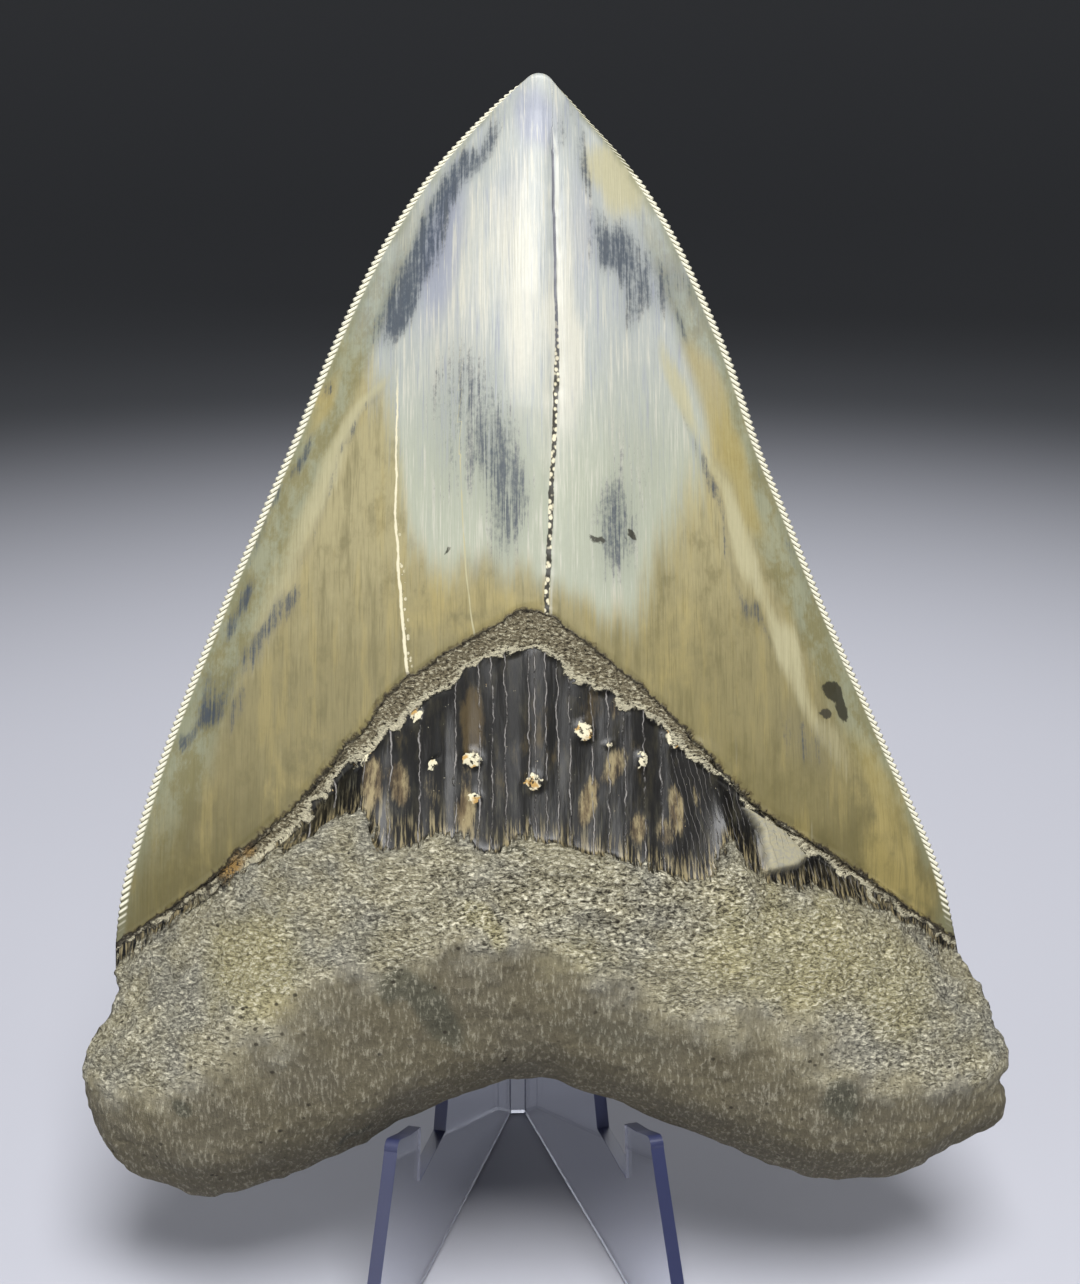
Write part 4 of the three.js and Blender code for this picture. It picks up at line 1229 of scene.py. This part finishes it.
def tooth_material():
    m = Nodes("fossil tooth")
    above_enamel, above_dark, above_root = m.parts("distances")
    ochre, smooth_part, chip = m.parts("band_marks")
    rim, _, is_face = m.parts("edge")
    fray = centred(m, m.noise((0.7, 0.7, 0.7), detail=3), 0.9)
    upright_fray = centred(m, m.noise((0.45, 2.4, 1), detail=3), 3.2)
    enamel = m.step(m.add(above_enamel, m.times(fray, 0.9)), -0.1, 0.1)
    band = m.step(m.add(above_dark, m.times(fray, 1.4)), -0.1, 0.12)
    dark = m.step(m.add(above_root, upright_fray), -0.2, 0.4)

    # Grain of the root: rough crumbs above, finer upright threads on its smoother lower half
    rough_grain = m.noise((0.62, 0.36, 0.5), detail=4, roughness=0.66, distortion=0.5)
    threads = m.noise((0.42, 1.3, 0.9), detail=4, roughness=0.68)
    lower = m.add(smooth_part, centred(m, m.noise((5, 5, 5), detail=4), 1.1))
    lower = m.step(m.add(lower, centred(m, rough_grain, 0.9)), 0.05, 0.95)
    root_grain = m.blend(m.times(lower, 0.8), rough_grain, threads)
    crumb_grain = m.noise((0.5, 0.3, 0.45), detail=4, roughness=0.66, distortion=0.5)
    root = root_colour(m, root_grain, lower)
    dark_colour, dull, dark_lines = dark_band_colour(m)
    lip_light = m.step(above_dark, 1.1, 0.25)
    crumbs = m.mix(m.step(crumb_grain, 0.34, 0.48), CRUMB_DARK_AND_SHADOW, CRUMB_MIDDLE)
    crumbs = m.mix(m.step(m.add(crumb_grain, m.times(lip_light, 0.16)), 0.51, 0.64), crumbs, CRUMB_PALE)
    x, _, _ = m.parts("flat")
    corners = m.math("MAXIMUM", m.step(x, -32.0, -38.0), m.step(x, 44.0, 50.0))
    dark_crumbs = m.step(m.noise((1.6, 1.3, 1.6), detail=3), 0.56, 0.44)
    crumbs = m.mix(m.product(corners, dark_crumbs, 0.85), crumbs, CRUMB_DARK_AND_SHADOW)
    crumbs = m.mix(m.product(ochre, m.step(crumb_grain, 0.4, 0.5)), crumbs, ORANGE_CRUMB)
    crown = cracked(m, enamel_colour(m), m.times(enamel, is_face))
    # Painted shadow: a thin dark line just under the enamel's lower edge
    painted_shadow_under_enamel = m.times(m.step(m.add(above_enamel, m.times(fray, 1.2)), -0.42, -0.1), 0.85)

    colour = m.mix(dark, root, dark_colour)
    colour = m.mix(band, colour, crumbs)
    colour = m.mix(painted_shadow_under_enamel, colour, CRUMB_DARK_AND_SHADOW)
    colour = m.mix(enamel, colour, crown)
    # Painted shadow: a thin brown line along the enamel's lower edge
    painted_shadow_on_enamel_edge = m.product(m.step(m.add(above_enamel, m.times(fray, 1.8)), 0.3, 0.05), enamel, 0.6)
    colour = m.mix(painted_shadow_on_enamel_edge, colour, PAINTED_EDGE_SHADOW)
    chip_grain = m.step(rough_grain, 0.35, 0.6)
    colour = m.mix(m.times(chip, 0.9), colour, m.mix(chip_grain, ROOT_GREYER, ROOT_BEIGE))

    # Gloss: enamel and dark band shine, the root and the crumbs don't
    only_dark = m.times(dark, m.math("SUBTRACT", 1.0, band))
    shiny_dark = m.times(only_dark, m.math("SUBTRACT", 1.0, dull))
    roughness = m.blend(shiny_dark, BONE_ROUGHNESS, DARK_BAND_ROUGHNESS)
    low, spread = ENAMEL_ROUGHNESS
    enamel_roughness = m.add(low, m.times(m.noise((1.2, 8, 5), detail=3), spread))
    roughness = m.blend(enamel, roughness, enamel_roughness)
    roughness = m.blend(m.step(rim, 1.4, 0.9), roughness, SERRATION_ROUGHNESS)
    roughness = m.blend(chip, roughness, CHIP_ROUGHNESS)

    # Fine relief, in millimetres
    grain_height = m.times(root_grain, m.blend(lower, *ROOT_GRAIN_HEIGHTS))
    root_height = m.times(m.math("SUBTRACT", 1.0, dark), grain_height)
    crumb_height = m.product(band, m.math("SUBTRACT", 1.0, enamel), crumb_grain, CRUMB_GRAIN_HEIGHT)
    ribs = m.times(m.noise((0.8, 5, 3)), DARK_RIB_HEIGHT)
    line_height = m.product(only_dark, m.add(m.times(dark_lines, DARK_LINE_HEIGHT), ribs))
    streak_height = m.times(enamel, m.times(m.noise((0.3, 9, 5), detail=2), ENAMEL_STREAK_HEIGHT))
    height = m.add(m.add(root_height, crumb_height), m.add(line_height, streak_height))
    bump = m.node("ShaderNodeBump", {"Strength": 1.0, "Distance": MM, "Height": height})

    shader = m.node(
        "ShaderNodeBsdfPrincipled",
        {
            "Base Color": colour,
            "Roughness": roughness,
            "Specular IOR Level": TOOTH_SPECULAR,
            "Normal": bump.outputs["Normal"],
        },
    )
    m.node("ShaderNodeOutputMaterial", {"Surface": shader.outputs[0]})
    return m.material


def clear_material(name, colour, roughness, clearness):
    m = Nodes(name)
    shader = m.node(
        "ShaderNodeBsdfPrincipled",
        {
            "Base Color": colour,
            "Roughness": roughness,
            "IOR": PLASTIC_IOR,
            "Transmission Weight": clearness,
        },
    )
    m.node("ShaderNodeOutputMaterial", {"Surface": shader.outputs[0]})
    return m.material


# Stand: a folded clear sheet. Its wings are drawn as (distance from the spine, height).
SHEET_THICKNESS = 1.7
SPINE_HALF_WIDTH = 1.7
WING_SPLAY = math.radians(16)
STAND_HEIGHT = 94
FOOT_REACH = 64.6
FRONT_EDGE = [(61.2, 10.7), (55.5, 21.2), (53.9, 24.4)]
LIP_TIP = (52.5, 25)
LIP_TIP_RADIUS = 1.1
LIP_TIP_TURN = math.radians(112)
LIP_TOP = [(48.3, 24.4), (44, 23)]
NOTCH_BOTTOM = (44.9, 15.6)
SEAT_BACK = (33.6, 16.3)
RISER_TOP = (8.1, 92)
TOP_ROUNDING = 3
SHEET_BEVEL = 0.28
PLASTIC_IOR = 1.5
CLEAR_TINT = srgb(236, 238, 247)
CLEAR_ROUGHNESS = 0.03
CUT_EDGE_BLUE = srgb(66, 72, 112)
CUT_EDGE_ROUGHNESS = 0.35
CUT_EDGE_CLEARNESS = 0.5
# How squarely a face has to look along a broad side of the sheet to be part of it
BROAD_FACING = 0.97


def wing_outline():
    points = [(0, 0), (FOOT_REACH, 0), *FRONT_EDGE]
    for step in range(9):
        angle = LIP_TIP_TURN * step / 8
        points.append(
            (LIP_TIP[0] + LIP_TIP_RADIUS * math.cos(angle), LIP_TIP[1] + LIP_TIP_RADIUS * math.sin(angle))
        )
    points += [*LIP_TOP, NOTCH_BOTTOM, SEAT_BACK, RISER_TOP]
    points += [(RISER_TOP[0] - 0.9, STAND_HEIGHT - 0.6), (RISER_TOP[0] - TOP_ROUNDING, STAND_HEIGHT)]
    return points + [(0, STAND_HEIGHT)]


def extruded(name, outline, to_row):
    """A flat sheet with this outline, as a closed solid placed by to_row."""
    vertices = []
    for side in (-1, 1):
        for reach, height in outline:
            vertices.append(to_row @ Vector((reach, side * SHEET_THICKNESS / 2, height)) * MM)
    count = len(outline)
    faces = [list(range(count)), list(range(2 * count - 1, count - 1, -1))]
    for i in range(count):
        j = (i + 1) % count
        faces.append([j, i, count + i, count + j])
    data = bpy.data.meshes.new(name)
    data.from_pydata(vertices, [], faces)
    data.update()
    return linked(name, data)


def apply_modifiers(piece):
    bpy.context.view_layer.update()
    shaped = piece.evaluated_get(bpy.context.evaluated_depsgraph_get())
    data = bpy.data.meshes.new_from_object(shaped)
    piece.modifiers.clear()
    piece.data = data


def make_stand():
    half = SPINE_HALF_WIDTH + SHEET_THICKNESS / 2
    spine_outline = [(-half, 0), (half, 0), (half, STAND_HEIGHT), (-half, STAND_HEIGHT)]
    stand = extruded("clear_stand", spine_outline, Matrix.Identity(4))
    for side in (-1, 1):
        turn = Matrix.Rotation(-math.pi / 2 + side * WING_SPLAY, 4, "Z")
        shift = Matrix.Translation((side * SPINE_HALF_WIDTH, 0, 0))
        wing = extruded("wing", wing_outline(), shift @ turn)
        join = stand.modifiers.new("join", "BOOLEAN")
        join.operation = "UNION"
        join.solver = "EXACT"
        join.object = wing
        apply_modifiers(stand)
        bpy.data.objects.remove(wing)
    bevel = stand.modifiers.new("bevel", "BEVEL")
    bevel.width = SHEET_BEVEL * MM
    bevel.segments = 2
    bevel.limit_method = "ANGLE"
    bevel.angle_limit = math.radians(35)
    apply_modifiers(stand)
    stand.data.shade_flat()
    return stand


def tint_cut_edges(stand):
    """Gives the sheet's narrow cut edges a duller, bluer plastic than its broad faces."""
    cut_edge = clear_material("cut edge", CUT_EDGE_BLUE, CUT_EDGE_ROUGHNESS, CUT_EDGE_CLEARNESS)
    stand.data.materials.append(cut_edge)
    broad = [Vector((math.cos(WING_SPLAY), side * math.sin(WING_SPLAY), 0)) for side in (-1, 1)]
    broad.append(Vector((0, 1, 0)))
    for face in stand.data.polygons:
        facing = max(abs(face.normal.dot(direction)) for direction in broad)
        face.material_index = 0 if facing > BROAD_FACING else 1


# Stage, lights and camera

CAMERA_PLACE = (-4.1, -268, 159)
CAMERA_PITCH = math.radians(17.5)
CAMERA_YAW = math.radians(1.6)
CAMERA_LENS = 56.07
CAMERA_SENSOR = 36
FLOOR_DROP = 0.0003
# Section of the stage, as (radius, height) in metres: a pale floor that curves up into a wall
STAGE_SECTION = [
    (0.0, 0), (0.3, 0), (0.75, 0), (0.95, 0.02), (1.12, 0.08), (1.25, 0.2), (1.33, 0.4), (1.35, 1.1),
]
STAGE_STEPS = 96
STAGE_RINGS = 40
# Distances from the object between which the floor's colour turns to the backdrop's
FLOOR_FADE = (0.18, 0.62)
FLOOR_ROUGHNESS = 0.7
FLOOR_PALE = srgb(184, 185, 194)
BACKDROP_GREY = srgb(70, 72, 76)
# Each light's name, place, size in metres, watts and colour
LIGHTS_AIM = (0, -0.02, 0.07)
LIGHTS = [
    ("key", (0.05, -0.42, 0.85), (0.42, 0.5), 10.8, (1, 1, 1)),
    ("front", (-0.45, -0.6, 0.3), (0.5, 0.3), 1.0, (1, 0.99, 0.96)),
    ("left", (-0.5, -0.2, 0.3), (0.2, 0.3), 0.35, (0.94, 0.97, 1)),
    ("right", (0.5, -0.2, 0.3), (0.2, 0.3), 0.3, (1, 0.98, 0.95)),
    ("back", (0.1, 0.5, 0.45), (0.4, 0.4), 1.3, (0.94, 0.96, 1)),
]
WORLD_GREY = srgb(150, 152, 158)
WORLD_STRENGTH = 0.24


def make_floor():
    vertices = []
    faces = []
    rings = smooth_curve(STAGE_SECTION)(np.linspace(0, 1, STAGE_RINGS))[1:]
    for radius, height in rings:
        for step in range(STAGE_STEPS):
            angle = 2 * math.pi * step / STAGE_STEPS
            z = max(height, 0) - FLOOR_DROP
            vertices.append((radius * math.cos(angle), radius * math.sin(angle), z))
    faces.append(list(range(STAGE_STEPS)))
    for ring in range(len(rings) - 1):
        for step in range(STAGE_STEPS):
            low = ring * STAGE_STEPS
            after = (step + 1) % STAGE_STEPS
            faces.append([low + step, low + STAGE_STEPS + step, low + STAGE_STEPS + after, low + after])
    data = bpy.data.meshes.new("floor")
    data.from_pydata(vertices, [], faces)
    data.shade_smooth()
    floor = linked("floor", data)
    m = Nodes("pale floor")
    place = m.node("ShaderNodeNewGeometry", {}).outputs["Position"]
    away = m.node("ShaderNodeVectorMath", {0: place}, operation="LENGTH").outputs["Value"]
    colour = m.mix(m.step(away, *FLOOR_FADE), FLOOR_PALE, BACKDROP_GREY)
    shader = m.node("ShaderNodeBsdfPrincipled", {"Base Color": colour, "Roughness": FLOOR_ROUGHNESS})
    m.node("ShaderNodeOutputMaterial", {"Surface": shader.outputs[0]})
    floor.data.materials.append(m.material)


def area_light(name, place, size, watts, colour):
    data = bpy.data.lights.new(name, "AREA")
    data.shape = "RECTANGLE"
    data.size, data.size_y = size
    data.energy = watts
    data.color = colour
    light = linked(name, data)
    light.location = place
    light.rotation_euler = (Vector(LIGHTS_AIM) - Vector(place)).to_track_quat("-Z", "Y").to_euler()


def make_lights():
    for light in LIGHTS:
        area_light(*light)
    world = bpy.data.worlds.new("studio")
    world.use_nodes = True
    world.node_tree.nodes["Background"].inputs["Color"].default_value = WORLD_GREY
    world.node_tree.nodes["Background"].inputs["Strength"].default_value = WORLD_STRENGTH
    bpy.context.scene.world = world
    bpy.context.scene.view_settings.view_transform = "Standard"


def make_camera():
    data = bpy.data.cameras.new("camera")
    data.lens = CAMERA_LENS
    data.sensor_width = CAMERA_SENSOR
    data.sensor_fit = "AUTO"
    data.clip_start = 0.01
    camera = linked("camera", data)
    camera.location = Vector(CAMERA_PLACE) * MM
    camera.rotation_euler = (math.pi / 2 - CAMERA_PITCH, 0, -CAMERA_YAW)
    bpy.context.scene.camera = camera


def dress(piece, material, node):
    piece.data.materials.clear()
    piece.data.materials.append(material)
    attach(piece, "root")
    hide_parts(node)


make_camera()
dress(make_tooth(), tooth_material(), "tooth")
stand = make_stand()
dress(stand, clear_material("clear plastic", CLEAR_TINT, CLEAR_ROUGHNESS, 1.0), "stand")
tint_cut_edges(stand)
make_floor()
make_lights()
